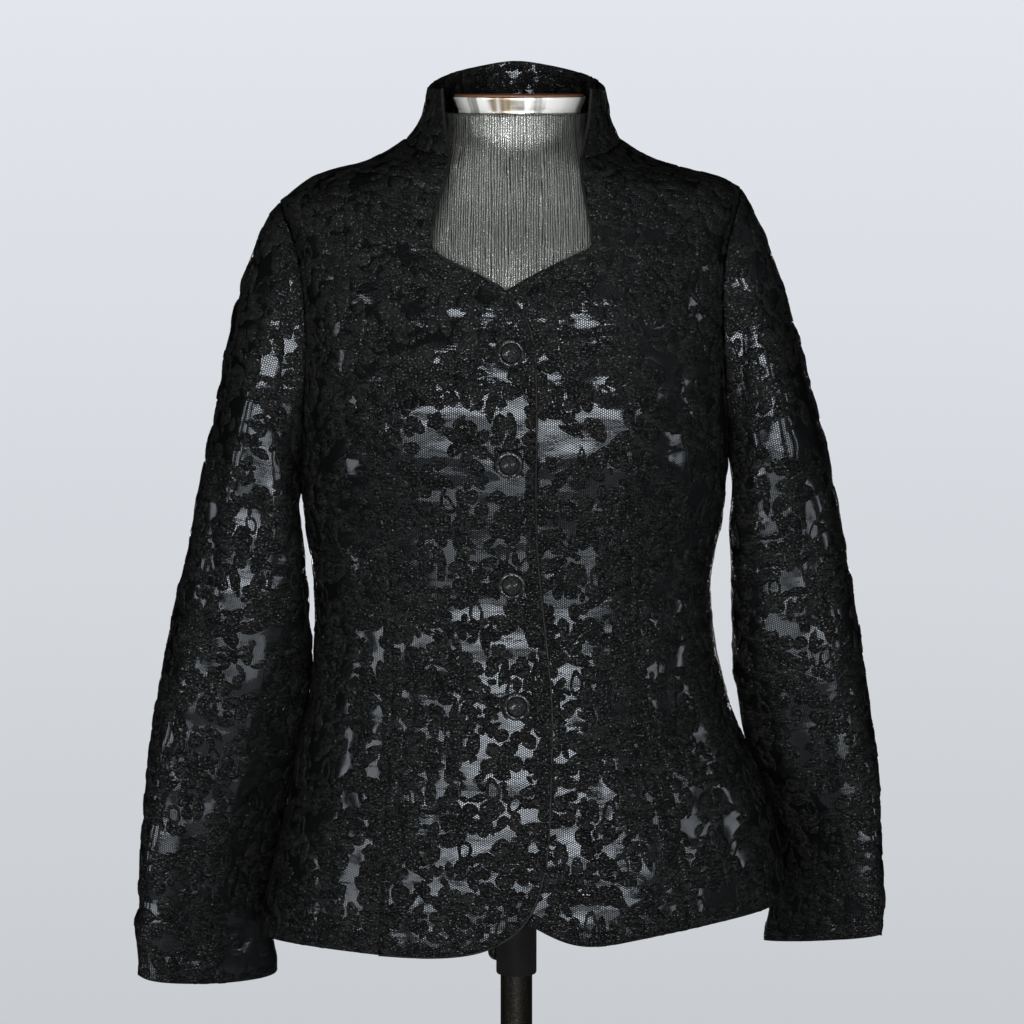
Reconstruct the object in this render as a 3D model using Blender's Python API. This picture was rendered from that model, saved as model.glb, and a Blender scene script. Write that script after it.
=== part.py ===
"""Lace blazer on a limbless dress form with a round-based stand.

Metres, +Z up, +X to the viewer's right, the front faces -Y. The origin is on the floor
under the pole. Left and right in names are the wearer's: the wearer's right is at -X.
"""
from collections import namedtuple
from math import atan2, cos, exp, hypot, pi, radians, sin

import bmesh
import bpy
from mathutils import Vector

CLOTH = 0.0015               # lace and its satin underlining, as one wall
SEAM_INSET = 0.00015         # each panel stops this far short of its seam line
RIGHT, LEFT = -1, 1          # the wearer's sides, as the sign of X

# The jacket's body, outer face: half-widths on each side, depths in front and behind
Section = namedtuple("Section", "height right left front back square")
BODY = [
    Section(0.8000, 0.2130, 0.2330, 0.1240, 0.1190, 2.30),
    Section(0.8530, 0.2045, 0.2217, 0.1215, 0.1200, 2.30),
    Section(0.9120, 0.1890, 0.2106, 0.1180, 0.1210, 2.30),
    Section(0.9575, 0.1795, 0.1955, 0.1130, 0.1150, 2.30),
    Section(0.9855, 0.1740, 0.1815, 0.1095, 0.1080, 2.30),
    Section(1.0365, 0.1642, 0.1649, 0.1030, 0.0940, 2.30),
    Section(1.0816, 0.1622, 0.1573, 0.0990, 0.0850, 2.30),
    Section(1.1110, 0.1630, 0.1555, 0.0990, 0.0840, 2.40),
    Section(1.1750, 0.1712, 0.1662, 0.1060, 0.0920, 2.60),
    Section(1.2150, 0.1722, 0.1690, 0.1110, 0.0990, 2.80),
    Section(1.2600, 0.1735, 0.1705, 0.1130, 0.1060, 2.80),
    Section(1.3100, 0.1728, 0.1700, 0.1120, 0.1090, 2.80),
    Section(1.3500, 0.1752, 0.1700, 0.1080, 0.1070, 2.70),
    Section(1.3850, 0.1800, 0.1725, 0.1010, 0.1000, 2.60),
    Section(1.4163, 0.1879, 0.1795, 0.0925, 0.0880, 2.35),
    Section(1.4270, 0.1740, 0.1776, 0.0885, 0.0830, 2.30),
    Section(1.4335, 0.1665, 0.1650, 0.0865, 0.0800, 2.25),
    Section(1.4425, 0.1400, 0.1330, 0.0835, 0.0755, 2.20),
    Section(1.4480, 0.1170, 0.1110, 0.0810, 0.0725, 2.20),
    Section(1.4615, 0.0935, 0.0865, 0.0755, 0.0680, 2.20),
    Section(1.4720, 0.0830, 0.0775, 0.0710, 0.0650, 2.20),
]
BUST_X, BUST_HEIGHT = 0.090, 1.250
BUST_REACH, BUST_SPREAD_X, BUST_SPREAD_Z = 0.020, 0.070, 0.065

# The dress form, clear of the cloth but for the shoulders, where the jacket rests on it
FormSection = namedtuple("FormSection", "height half front back square")
FORM = [
    FormSection(0.8650, 0.1480, 0.0840, 0.0880, 2.2),
    FormSection(0.8720, 0.1620, 0.0940, 0.0990, 2.2),
    FormSection(0.8900, 0.1700, 0.1000, 0.1060, 2.2),
    FormSection(0.9400, 0.1680, 0.1000, 0.1080, 2.2),
    FormSection(0.9900, 0.1560, 0.0930, 0.0980, 2.2),
    FormSection(1.0400, 0.1440, 0.0860, 0.0830, 2.2),
    FormSection(1.0900, 0.1400, 0.0830, 0.0740, 2.2),
    FormSection(1.1500, 0.1470, 0.0900, 0.0790, 2.3),
    FormSection(1.2100, 0.1580, 0.1000, 0.0900, 2.5),
    FormSection(1.2600, 0.1610, 0.1050, 0.0980, 2.6),
    FormSection(1.3200, 0.1600, 0.1040, 0.1010, 2.6),
    FormSection(1.3650, 0.1610, 0.0970, 0.0960, 2.5),
    FormSection(1.3950, 0.1640, 0.0875, 0.0860, 2.4),
    FormSection(1.4150, 0.1640, 0.0780, 0.0770, 2.3),
    FormSection(1.4280, 0.1600, 0.0700, 0.0710, 2.2),
    FormSection(1.4360, 0.1520, 0.0660, 0.0670, 2.2),
    FormSection(1.4410, 0.1320, 0.0630, 0.0640, 2.2),
    FormSection(1.4470, 0.1020, 0.0610, 0.0610, 2.1),
    FormSection(1.4550, 0.0760, 0.0580, 0.0580, 2.0),
    FormSection(1.4640, 0.0620, 0.0560, 0.0560, 2.0),
    FormSection(1.4750, 0.0575, 0.0560, 0.0560, 2.0),
    FormSection(1.4860, 0.0585, 0.0585, 0.0585, 2.0),
]
FORM_BUST_REACH = 0.017
SHOULDER_SEAT = 0.0021       # cloth, its slope and the gap under it, measured straight down
FORM_SIDES = 28

# Front edges, as x and height down each front from the collar seam to the hem
Point = namedtuple("Point", "x height")
NECKLINE = {
    RIGHT: [Point(-0.0518, 1.4540), Point(-0.0542, 1.4371), Point(-0.0589, 1.4254),
            Point(-0.0644, 1.4076), Point(-0.0668, 1.3830)],
    LEFT: [Point(0.0501, 1.4520), Point(0.0505, 1.4340), Point(0.0541, 1.4161),
           Point(0.0580, 1.3959), Point(0.0590, 1.3858)],
}
VEE = {
    RIGHT: [Point(-0.0668, 1.3830), Point(-0.0523, 1.3742), Point(-0.0314, 1.3650),
            Point(-0.0060, 1.3508)],
    LEFT: [Point(0.0590, 1.3858), Point(0.0458, 1.3796), Point(0.0165, 1.3665),
           Point(-0.0120, 1.3500)],
}
FRONT_EDGE = {
    RIGHT: [Point(-0.0060, 1.3508), Point(0.0100, 1.3300), Point(0.0148, 1.3035),
            Point(0.0157, 1.2450), Point(0.0150, 1.1880), Point(0.0157, 1.1500),
            Point(0.0196, 1.1116), Point(0.0250, 1.0600), Point(0.0283, 1.0220),
            Point(0.0268, 0.9580), Point(0.0253, 0.9095), Point(0.0120, 0.8600)],
    LEFT: [Point(-0.0120, 1.3500), Point(-0.0180, 1.3035), Point(-0.0180, 0.9095),
           Point(-0.0120, 0.8620)],
}
# Hem, as the share of the way from the front edge to the side seam, and the height
Hem = namedtuple("Hem", "share height")
HEM = {
    RIGHT: [Hem(0.00, 0.8600), Hem(0.06, 0.8480), Hem(0.14, 0.8370), Hem(0.26, 0.8300),
            Hem(0.40, 0.8275), Hem(0.70, 0.8290), Hem(1.00, 0.8215)],
    LEFT: [Hem(0.00, 0.8620), Hem(0.10, 0.8560), Hem(0.18, 0.8450), Hem(0.32, 0.8355),
           Hem(0.50, 0.8420), Hem(0.72, 0.8510), Hem(1.00, 0.8560)],
}
HEM_BACK = 0.8400

# Seam between each front and its side front, from the hem up to the bust dart
SIDE_FRONT_SEAM = {
    RIGHT: [Point(-0.1090, 0.8275), Point(-0.1060, 0.9150), Point(-0.0974, 1.0190),
            Point(-0.0987, 1.1000), Point(-0.1030, 1.1863), Point(-0.1169, 1.2645)],
    LEFT: [Point(0.1365, 0.8480), Point(0.1309, 0.8797), Point(0.1164, 0.9453),
           Point(0.1000, 1.0057), Point(0.0883, 1.1157), Point(0.0926, 1.1863),
           Point(0.1040, 1.2590)],
}
DART_SIDE_DROP = {RIGHT: 0.042, LEFT: 0.032}    # from the armhole down to the dart's end
DART_BEND = 1.15             # the dart falls faster as it nears the side seam
UNDERARM = {RIGHT: 1.1970, LEFT: 1.2140}
SHOULDER_TIP = {RIGHT: 1.4163, LEFT: 1.4270}
ARMHOLE_FRONT, ARMHOLE_BACK, ARMHOLE_SQUARE = 0.052, 0.062, 2.1
NECK_POINT = 1.4655          # height of the collar seam on the shoulder ridge
COLLAR_SEAM_BACK = 1.4700

# Panel grids: counts of steps along each stretch of a seam
HEM_STEPS, BUTTON_STEPS, DART_STEPS = 5, 3, 2
TOP_BUTTON_STEPS, VEE_STEPS, NECKLINE_STEPS = 2, 4, 5
ARMHOLE_STEPS = 12
COLLAR_SEAM_STEPS, SHOULDER_INNER_STEPS, SHOULDER_OUTER_STEPS = 3, 3, 4
SIDE_FRONT_STEPS, BACK_NECK_STEPS = 4, 8
SHOULDER_MIDDLE = 0.142      # x where the front's two blocks meet on the shoulder
GUIDE_BEND = 1.4             # how late the line between the two blocks rises
DART_CROWDING = 1.4          # how much closer the dart's points stand near the side seam

# The right front laps over the left one
LAP_LIFT, LAP_START, LAP_END = 0.0023, -0.055, -0.026

# Stand collar
COLLAR_HALF, COLLAR_TOP_FRONT, COLLAR_TOP_BACK, COLLAR_SQUARE = 0.0705, 0.0820, 0.0660, 2.2
COLLAR_FRONT_AZIMUTH = 49.5
CollarTop = namedtuple("CollarTop", "azimuth height")
COLLAR_EDGE = [CollarTop(0, 1.5050), CollarTop(50, 1.5060), CollarTop(90, 1.5070),
               CollarTop(135, 1.5190), CollarTop(180, 1.5287)]
COLLAR_ROWS = 4

# Sleeves: the outer line, the inner line under the arm, and half the depth between them
SleeveRow = namedtuple("SleeveRow", "out_x out_y out_z in_x in_y in_z deep")
SLEEVE = {
    RIGHT: [
        SleeveRow(0.1879, 0.000, 1.4163, 0.1728, 0.000, 1.1970, 0.0550),
        SleeveRow(0.2110, -0.002, 1.3790, 0.1750, 0.000, 1.1900, 0.0565),
        SleeveRow(0.2239, -0.004, 1.3268, 0.1765, 0.001, 1.1800, 0.0580),
        SleeveRow(0.2350, -0.006, 1.2720, 0.1765, 0.003, 1.1650, 0.0580),
        SleeveRow(0.2440, -0.008, 1.2273, 0.1750, 0.005, 1.1450, 0.0560),
        SleeveRow(0.2560, -0.012, 1.1700, 0.1715, 0.008, 1.1150, 0.0530),
        SleeveRow(0.2643, -0.016, 1.1278, 0.1700, 0.010, 1.0850, 0.0500),
        SleeveRow(0.2787, -0.022, 1.0611, 0.1685, 0.016, 1.0350, 0.0440),
        SleeveRow(0.2890, -0.026, 1.0000, 0.1780, 0.028, 0.9850, 0.0370),
        SleeveRow(0.2963, -0.028, 0.9404, 0.1900, 0.038, 0.9300, 0.0310),
        SleeveRow(0.3010, -0.029, 0.8800, 0.2005, 0.046, 0.8730, 0.0260),
        SleeveRow(0.3045, -0.030, 0.8320, 0.2060, 0.051, 0.8230, 0.0220),
        SleeveRow(0.3054, -0.030, 0.7911, 0.2005, 0.052, 0.7782, 0.0190),
    ],
    LEFT: [
        SleeveRow(0.1776, 0.000, 1.4270, 0.1700, 0.000, 1.2140, 0.0550),
        SleeveRow(0.2000, -0.002, 1.3930, 0.1728, 0.000, 1.2070, 0.0565),
        SleeveRow(0.2155, -0.004, 1.3350, 0.1750, 0.001, 1.1960, 0.0580),
        SleeveRow(0.2306, -0.006, 1.2828, 0.1757, 0.003, 1.1810, 0.0580),
        SleeveRow(0.2398, -0.008, 1.2434, 0.1757, 0.005, 1.1610, 0.0560),
        SleeveRow(0.2516, -0.010, 1.1951, 0.1755, 0.008, 1.1350, 0.0530),
        SleeveRow(0.2600, -0.012, 1.1530, 0.1760, 0.010, 1.1080, 0.0500),
        SleeveRow(0.2700, -0.016, 1.0950, 0.1775, 0.014, 1.0680, 0.0450),
        SleeveRow(0.2809, -0.018, 1.0161, 0.1845, 0.022, 1.0080, 0.0370),
        SleeveRow(0.2875, -0.020, 0.9600, 0.1985, 0.040, 0.9550, 0.0290),
        SleeveRow(0.2925, -0.021, 0.9040, 0.2130, 0.055, 0.9000, 0.0220),
        SleeveRow(0.2960, -0.022, 0.8600, 0.2190, 0.066, 0.8490, 0.0180),
        SleeveRow(0.2940, -0.022, 0.8229, 0.2085, 0.068, 0.7986, 0.0160),
    ],
}
CUFF_SAG = {RIGHT: 0.0070, LEFT: 0.0030}    # how far the front of each cuff's edge hangs lower
CUFF_SAG_START = 0.90                       # share of the sleeve's length where that begins
SLEEVE_RINGS = 21
SLEEVE_SQUARE = 2.3
CAP_BLEND = (0.0, 0.45, 0.80)    # how far the first rings have left the armhole's own curve
SLEEVE_SHIFT = 0.00075           # the sleeve starts this far outside the armhole edge

# The largest folds of each sleeve: troughs along it, by angle round it and share of length
Fold = namedtuple("Fold", "angle turn start end width depth")
SLEEVE_FOLDS = {
    RIGHT: [Fold(75, 20, 0.10, 0.60, 22, 0.0050), Fold(125, -25, 0.35, 0.95, 20, 0.0045),
            Fold(60, -10, 0.55, 1.10, 20, 0.0040), Fold(250, 15, 0.15, 0.90, 24, 0.0045)],
    LEFT: [Fold(105, -20, 0.08, 0.55, 22, 0.0050), Fold(65, 15, 0.30, 0.85, 20, 0.0045),
           Fold(125, 10, 0.60, 1.10, 20, 0.0040), Fold(255, -15, 0.15, 0.90, 24, 0.0045)],
}

# Covered buttons on the centre line
Button = namedtuple("Button", "x height")
BUTTONS = [Button(-0.0044, 1.3039), Button(-0.0059, 1.2190), Button(-0.0036, 1.1218),
           Button(0.0003, 1.0261)]
BUTTON_RADIUS, BUTTON_DOME, BUTTON_RIM, BUTTON_SEAT = 0.0111, 0.0042, 0.0018, 0.0010

# Neck ring, cap and stand
RING_X = 0.002
RING_BASE, RING_TOP = 1.4863, 1.4990
RING_LOWER_RADIUS, RING_UPPER_RADIUS = 0.0493, 0.0530
CAP_RADIUS, CAP_THICKNESS = 0.0515, 0.0016
GAP = 0.0003
SOCKET_RADIUS, SOCKET_BOTTOM, SOCKET_BORE_DEPTH = 0.0165, 0.7868, 0.0600
POLE_RADIUS = 0.0130
KNOB_RADIUS, KNOB_LENGTH, STEM_RADIUS, STEM_LENGTH = 0.0075, 0.0090, 0.0028, 0.0060
KNOB_HEIGHT, KNOB_AZIMUTH = 0.7990, 215
BASE_RADIUS, BASE_THICKNESS, HUB_RADIUS, HUB_TOP, BORE_FLOOR = 0.180, 0.012, 0.026, 0.060, 0.015
POLE_SIDES, BASE_SIDES = 24, 48

NORMAL_STEP_ANGLE, NORMAL_STEP_HEIGHT = 0.2, 0.0005
CORE_TOP, CORE_REACH, BISECTIONS = 1.250, 0.45, 34
EVENING_ROUNDS, EVENING_PASSES = 4, 20


# Curves and tables

def smooth_step(low, high, value):
    """0 below low, 1 above high, and a soft rise between."""
    share = min(max((value - low) / (high - low), 0.0), 1.0)
    return share * share * (3.0 - 2.0 * share)


def table_row(rows, key, at):
    """Every column of a table at a value of its key column, without overshoot."""
    index = 0
    while index < len(rows) - 2 and (at - rows[index + 1][key]) * (rows[-1][key] - rows[0][key]) > 0:
        index += 1
    before, after = rows[index], rows[index + 1]
    span = after[key] - before[key]
    share = min(max((at - before[key]) / span, -0.5), 1.5)
    values = []
    for column in range(len(before)):
        slopes = [slope_at(rows, key, column, i) for i in (index, index + 1)]
        values.append(hermite(before[column], after[column], slopes[0] * span, slopes[1] * span, share))
    return type(before)(*values)


def slope_at(rows, key, column, index):
    """Slope of a column at a row, flat where the column turns."""
    if index in (0, len(rows) - 1):
        near = 1 if index == 0 else len(rows) - 2
        return (rows[near][column] - rows[index][column]) / (rows[near][key] - rows[index][key])
    down = (rows[index][column] - rows[index - 1][column]) / (rows[index][key] - rows[index - 1][key])
    up = (rows[index + 1][column] - rows[index][column]) / (rows[index + 1][key] - rows[index][key])
    if down * up <= 0.0:
        return 0.0
    return 2.0 * down * up / (down + up)


def hermite(start, end, start_slope, end_slope, share):
    """Cubic between two values with the slopes given at both ends."""
    if share < 0.0:
        return start + start_slope * share
    if share > 1.0:
        return end + end_slope * (share - 1.0)
    square, cube = share * share, share ** 3
    return (start * (2 * cube - 3 * square + 1) + end * (3 * square - 2 * cube)
            + start_slope * (cube - 2 * square + share) + end_slope * (cube - square))


def spread(start, end, count):
    """Evenly spaced values from start to end, both included."""
    return [start + (end - start) * i / count for i in range(count + 1)]


# The body's surface, by angle from the centre front and height

def superellipse_radius(angle, half, deep, square):
    """Distance from the axis to a superellipse at an angle from the -Y direction."""
    wide = abs(sin(angle)) / half
    long = abs(cos(angle)) / deep
    return (wide ** square + long ** square) ** (-1.0 / square)


def bust(x, height, reach):
    """How far the cups stand forward of the plain section."""
    total = 0.0
    for side in (RIGHT, LEFT):
        across = (x - side * BUST_X) / BUST_SPREAD_X
        along = (height - BUST_HEIGHT) / BUST_SPREAD_Z
        total += exp(-across * across - along * along)
    return reach * total


def body_point(angle, height):
    """A point of the jacket's outer face; angles are in degrees, positive to +X."""
    row = table_row(BODY, 0, height)
    turn = radians(angle)
    half = row.left if sin(turn) >= 0.0 else row.right
    deep = row.front if cos(turn) >= 0.0 else row.back
    radius = superellipse_radius(turn, half, deep, row.square)
    x, y = radius * sin(turn), -radius * cos(turn)
    if cos(turn) > 0.0:
        y -= bust(x, height, BUST_REACH) * cos(turn) ** 0.5
    return Vector((x, y, height))


def body_normal(angle, height):
    """Outward direction of the jacket's face at an angle and height."""
    round_it = body_point(angle + NORMAL_STEP_ANGLE, height) - body_point(angle - NORMAL_STEP_ANGLE, height)
    up_it = body_point(angle, height + NORMAL_STEP_HEIGHT) - body_point(angle, height - NORMAL_STEP_HEIGHT)
    return round_it.cross(up_it).normalized()


def angle_at_x(x, height):
    """Angle of the front's point that lies at x, at a height."""
    row = table_row(BODY, 0, height)
    half = row.left if x >= 0.0 else row.right
    share = min(abs(x) / half, 1.0)
    forward = row.front * (1.0 - share ** row.square) ** (1.0 / row.square)
    return atan2(x, forward) * 180.0 / pi


def angle_at_depth(side, y, height):
    """Angle of the side's point that lies at y, at a height."""
    row = table_row(BODY, 0, height)
    half = row.left if side == LEFT else row.right
    deep = row.front if y <= 0.0 else row.back
    out = half * (1.0 - (abs(y) / deep) ** row.square) ** (1.0 / row.square)
    return side * atan2(out, -y) * 180.0 / pi


def ridge_height(side, x):
    """Height of the shoulder ridge at a distance from the centre."""
    low, high = SHOULDER_TIP[side], BODY[-1].height
    for _ in range(40):
        middle = (low + high) / 2.0
        row = table_row(BODY, 0, middle)
        if (row.left if side == LEFT else row.right) > x:
            low = middle
        else:
            high = middle
    return low


# Seam lines, as lists of (angle, height) shared by the panels that meet there

def front_edge_heights(side):
    """Heights of the grid rows at the front edge, from the hem to the top of the vee's stem."""
    buttons = [button.height for button in reversed(BUTTONS)]
    hem, stem = FRONT_EDGE[side][-1].height, FRONT_EDGE[side][0].height
    junction = dart_junction(side).height
    stops = [(hem, buttons[0], HEM_STEPS), (buttons[0], buttons[1], BUTTON_STEPS),
             (buttons[1], buttons[2], BUTTON_STEPS), (buttons[2], junction, DART_STEPS),
             (junction, buttons[3], TOP_BUTTON_STEPS), (buttons[3], stem, TOP_BUTTON_STEPS)]
    heights = [hem]
    for start, end, count in stops:
        heights += spread(start, end, count)[1:]
    return heights


def dart_junction(side):
    """Where the bust dart meets the side-front seam."""
    return SIDE_FRONT_SEAM[side][-1]


def low_rows():
    """Count of grid rows from the hem up to the bust dart."""
    return HEM_STEPS + 2 * BUTTON_STEPS + DART_STEPS


def at_x(x, height):
    return (angle_at_x(x, height), height)


def resample(points, count):
    """A polyline of (x, height) points read at evenly spaced steps along it."""
    lengths = [0.0]
    for before, after in zip(points, points[1:]):
        lengths.append(lengths[-1] + hypot(after.x - before.x, after.height - before.height))
    rows = [(length, point.x, point.height) for length, point in zip(lengths, points)]
    result = []
    for at in spread(0.0, lengths[-1], count):
        index = max(i for i in range(len(rows) - 1) if rows[i][0] <= at + 1e-9)
        share = (at - rows[index][0]) / (rows[index + 1][0] - rows[index][0])
        x = rows[index][1] + share * (rows[index + 1][1] - rows[index][1])
        height = rows[index][2] + share * (rows[index + 1][2] - rows[index][2])
        result.append(at_x(x, height))
    return result


def front_edge_line(side):
    """The front edge, vee and neckline, from the hem up to the collar seam."""
    line = []
    for height in front_edge_heights(side):
        line.append(at_x(table_row(FRONT_EDGE[side], 1, height).x, height))
    line += resample(list(reversed(VEE[side])), VEE_STEPS)[1:]
    line += resample(list(reversed(NECKLINE[side])), NECKLINE_STEPS)[1:]
    return line


def hem_line(side, start_share, end_share, start, end, count):
    """A stretch of the hem between two points already placed."""
    line = []
    for i in range(count + 1):
        along = i / count
        share = start_share + (end_share - start_share) * along
        height = table_row(HEM[side], 0, share).height
        line.append((start[0] + (end[0] - start[0]) * along, height))
    line[0], line[-1] = start, end
    return line


def seam_hem_share(side):
    """Share of the hem's width at which the side-front seam starts."""
    edge = at_x(FRONT_EDGE[side][-1].x, FRONT_EDGE[side][-1].height)[0]
    seam = at_x(SIDE_FRONT_SEAM[side][0].x, SIDE_FRONT_SEAM[side][0].height)[0]
    return (seam - edge) / (side * 90.0 - edge)


def side_front_line(side):
    """The side-front seam, from the hem up to the dart."""
    low, high = seam_hem_height(side), dart_junction(side).height
    line = []
    for height in spread(low, high, low_rows()):
        line.append(at_x(table_row(SIDE_FRONT_SEAM[side], 1, height).x, height))
    return line


def seam_hem_height(side):
    return table_row(HEM[side], 0, seam_hem_share(side)).height


def side_line(side):
    """The side seam, from the hem up to the dart's end."""
    top = UNDERARM[side] - DART_SIDE_DROP[side]
    return [(side * 90.0, height) for height in spread(HEM[side][-1].height, top, low_rows())]


def dart_line(side):
    """The bust dart, from the side-front seam round to the side seam."""
    start, end = side_front_line(side)[-1], side_line(side)[-1]
    line = []
    for even in spread(0.0, 1.0, SHOULDER_OUTER_STEPS):
        share = 1.0 - (1.0 - even) ** DART_CROWDING
        angle = start[0] + (end[0] - start[0]) * share
        line.append((angle, start[1] + (end[1] - start[1]) * share ** DART_BEND))
    return line


def armhole_line(side, behind):
    """Half of the armhole, from the underarm up to the shoulder tip."""
    low, high = UNDERARM[side], SHOULDER_TIP[side]
    reach = ARMHOLE_BACK if behind else ARMHOLE_FRONT
    line = []
    for i in range(ARMHOLE_STEPS + 1):
        turn = pi * i / ARMHOLE_STEPS
        radius = superellipse_radius(turn, 1.0, 1.0, ARMHOLE_SQUARE)
        height = (low + high) / 2.0 - (high - low) / 2.0 * radius * cos(turn)
        y = reach * radius * sin(turn) * (1.0 if behind else -1.0)
        line.append((angle_at_depth(side, y, height), height))
    line[0] = (side * 90.0, low)
    line[-1] = (side * 90.0, high)
    return line


def shoulder_line(side):
    """The shoulder seam, from the neck point out to the tip, along the ridge."""
    neck_row = table_row(BODY, 0, NECK_POINT)
    neck_x = neck_row.left if side == LEFT else neck_row.right
    tip_row = table_row(BODY, 0, SHOULDER_TIP[side])
    tip_x = tip_row.left if side == LEFT else tip_row.right
    stations = spread(neck_x, SHOULDER_MIDDLE, SHOULDER_INNER_STEPS)
    stations += spread(SHOULDER_MIDDLE, tip_x, SHOULDER_OUTER_STEPS)[1:]
    line = [(side * 90.0, ridge_height(side, x)) for x in stations]
    line[0] = (side * 90.0, NECK_POINT)
    line[-1] = (side * 90.0, SHOULDER_TIP[side])
    return line


def collar_seam_front(side):
    """The collar seam on a front, from the neckline's end back to the neck point."""
    start = NECKLINE[side][0]
    first = at_x(start.x, start.height)
    line = []
    for i in range(COLLAR_SEAM_STEPS + 1):
        share = i / COLLAR_SEAM_STEPS
        angle = first[0] + (side * 90.0 - first[0]) * share
        line.append((angle, first[1] + (NECK_POINT - first[1]) * smooth_step(0.0, 1.0, share)))
    return line


def collar_seam_back():
    """The collar seam behind the neck, from the wearer's right to the left."""
    line = []
    for i in range(BACK_NECK_STEPS + 1):
        share = i / BACK_NECK_STEPS
        rise = sin(pi * share) ** 2
        line.append((-90.0 - 180.0 * share, NECK_POINT + (COLLAR_SEAM_BACK - NECK_POINT) * rise))
    return line


def guide_line(side):
    """The line between the front's two blocks, from the dart up to the shoulder seam."""
    junction = dart_junction(side)
    top = ridge_height(side, SHOULDER_MIDDLE)
    count = ARMHOLE_STEPS + 1
    line = []
    for i in range(count + 1):
        share = i / count
        x = abs(junction.x) + (SHOULDER_MIDDLE - abs(junction.x)) * share
        height = junction.height + (top - junction.height) * sin(pi / 2.0 * share) ** GUIDE_BEND
        line.append(at_x(side * x, height))
    line[-1] = (side * 90.0, top)
    return line


# Panels

def inside_body(point):
    """Whether a point lies inside the jacket's outer face."""
    row = table_row(BODY, 0, point.z)
    half = row.left if point.x >= 0.0 else row.right
    share = abs(point.x) / half
    if share >= 1.0:
        return False
    room = (1.0 - share ** row.square) ** (1.0 / row.square)
    if point.y > 0.0:
        return point.y < row.back * room
    forward = row.front * room
    facing = forward / max(hypot(point.x, forward), 1e-9)
    return -point.y < forward + bust(point.x, point.z, BUST_REACH) * facing ** 0.5


def on_body(point):
    """Angle and height of the outer face straight out from the body's core through a point."""
    core = Vector((0.0, 0.0, min(point.z, CORE_TOP)))
    outward = (point - core).normalized()
    near, far = 0.0, CORE_REACH
    for _ in range(BISECTIONS):
        middle = (near + far) / 2.0
        if inside_body(core + outward * middle):
            near = middle
        else:
            far = middle
    hit = core + outward * near
    y = hit.y
    for _ in range(4):
        facing = max(-y / max(hypot(hit.x, y), 1e-9), 0.0)
        y = hit.y + bust(hit.x, hit.z, BUST_REACH) * facing ** 0.5
    return (atan2(hit.x, -y) * 180.0 / pi, hit.z)


def coons(bottom, top, left, right):
    """Grid of (angle, height) rows on the body that fills four boundary lines."""
    rows, columns = len(left) - 1, len(bottom) - 1
    low, high, first, last = ([body_point(*place) for place in line] for line in (bottom, top, left, right))
    points = [low]
    for i in range(1, rows):
        t = i / rows
        line = [first[i]]
        for j in range(1, columns):
            s = j / columns
            ruled = low[j] * (1 - t) + high[j] * t + first[i] * (1 - s) + last[i] * s
            corners = (low[0] * (1 - s) + low[-1] * s) * (1 - t) + (high[0] * (1 - s) + high[-1] * s) * t
            line.append(ruled - corners)
        points.append(line + [last[i]])
    points.append(high)
    for _ in range(EVENING_ROUNDS):
        for _ in range(EVENING_PASSES):
            even_out(points)
        for line in points[1:-1]:
            line[1:-1] = [body_point(*on_body(point)) for point in line[1:-1]]
    grid = [list(bottom)]
    for i in range(1, rows):
        inner = [turned_near(on_body(point), left[i][0], right[i][0]) for point in points[i][1:-1]]
        grid.append([left[i]] + inner + [right[i]])
    grid.append(list(top))
    return grid


def even_out(points):
    """Move each inner point of a grid towards the place that keeps the cells from folding."""
    for i in range(1, len(points) - 1):
        below, here, above = points[i - 1], points[i], points[i + 1]
        for j in range(1, len(here) - 1):
            along = (here[j + 1] - here[j - 1]) / 2.0
            up = (above[j] - below[j]) / 2.0
            skew = above[j + 1] - above[j - 1] - below[j + 1] + below[j - 1]
            target = (here[j + 1] + here[j - 1]) * up.length_squared
            target += (above[j] + below[j]) * along.length_squared - skew * (along.dot(up) / 2.0)
            here[j] = here[j].lerp(target / (2.0 * (up.length_squared + along.length_squared)), 0.7)


def turned_near(place, start, end):
    """The same place, its angle counted in the turn that the grid's ends use."""
    angle, height = place
    middle = (start + end) / 2.0
    while angle - middle > 180.0:
        angle -= 360.0
    while middle - angle > 180.0:
        angle += 360.0
    return (angle, height)


def lap_lift(angle, height):
    """How far the right front stands off the body where it laps over the left one."""
    return LAP_LIFT * smooth_step(LAP_START, LAP_END, body_point(angle, height).x)


def add_body_grid(cloth, grid, lift=None):
    """Put a grid of the body's surface into a cloth sheet, sharing its equal points."""
    keys = []
    for line in grid:
        row = []
        for angle, height in line:
            name = (round(angle, 6), round(height, 8))
            if name not in cloth["keys"]:
                direction = body_normal(angle, height)
                off = lift(angle, height) if lift else 0.0
                cloth["keys"][name] = len(cloth["points"])
                cloth["points"].append(body_point(angle, height) + direction * off)
                cloth["normals"].append(direction)
            row.append(cloth["keys"][name])
        keys.append(row)
    add_quads(cloth, keys, closed=False)


def add_quads(cloth, keys, closed):
    """Faces between the rows of a grid of point numbers."""
    for lower, upper in zip(keys, keys[1:]):
        count = len(lower)
        for j in range(count if closed else count - 1):
            after = (j + 1) % count
            cloth["faces"].append((lower[j], lower[after], upper[after], upper[j]))


def new_cloth():
    return {"keys": {}, "points": [], "normals": [], "faces": []}


def boundary_links(faces):
    """For each border point, the border points before and after it."""
    edges = {}
    for face in faces:
        for a, b in zip(face, face[1:] + face[:1]):
            edges[(a, b)] = True
    links = {}
    for a, b in edges:
        if (b, a) not in edges:
            links.setdefault(a, {})["after"] = b
            links.setdefault(b, {})["before"] = a
    return links


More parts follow.
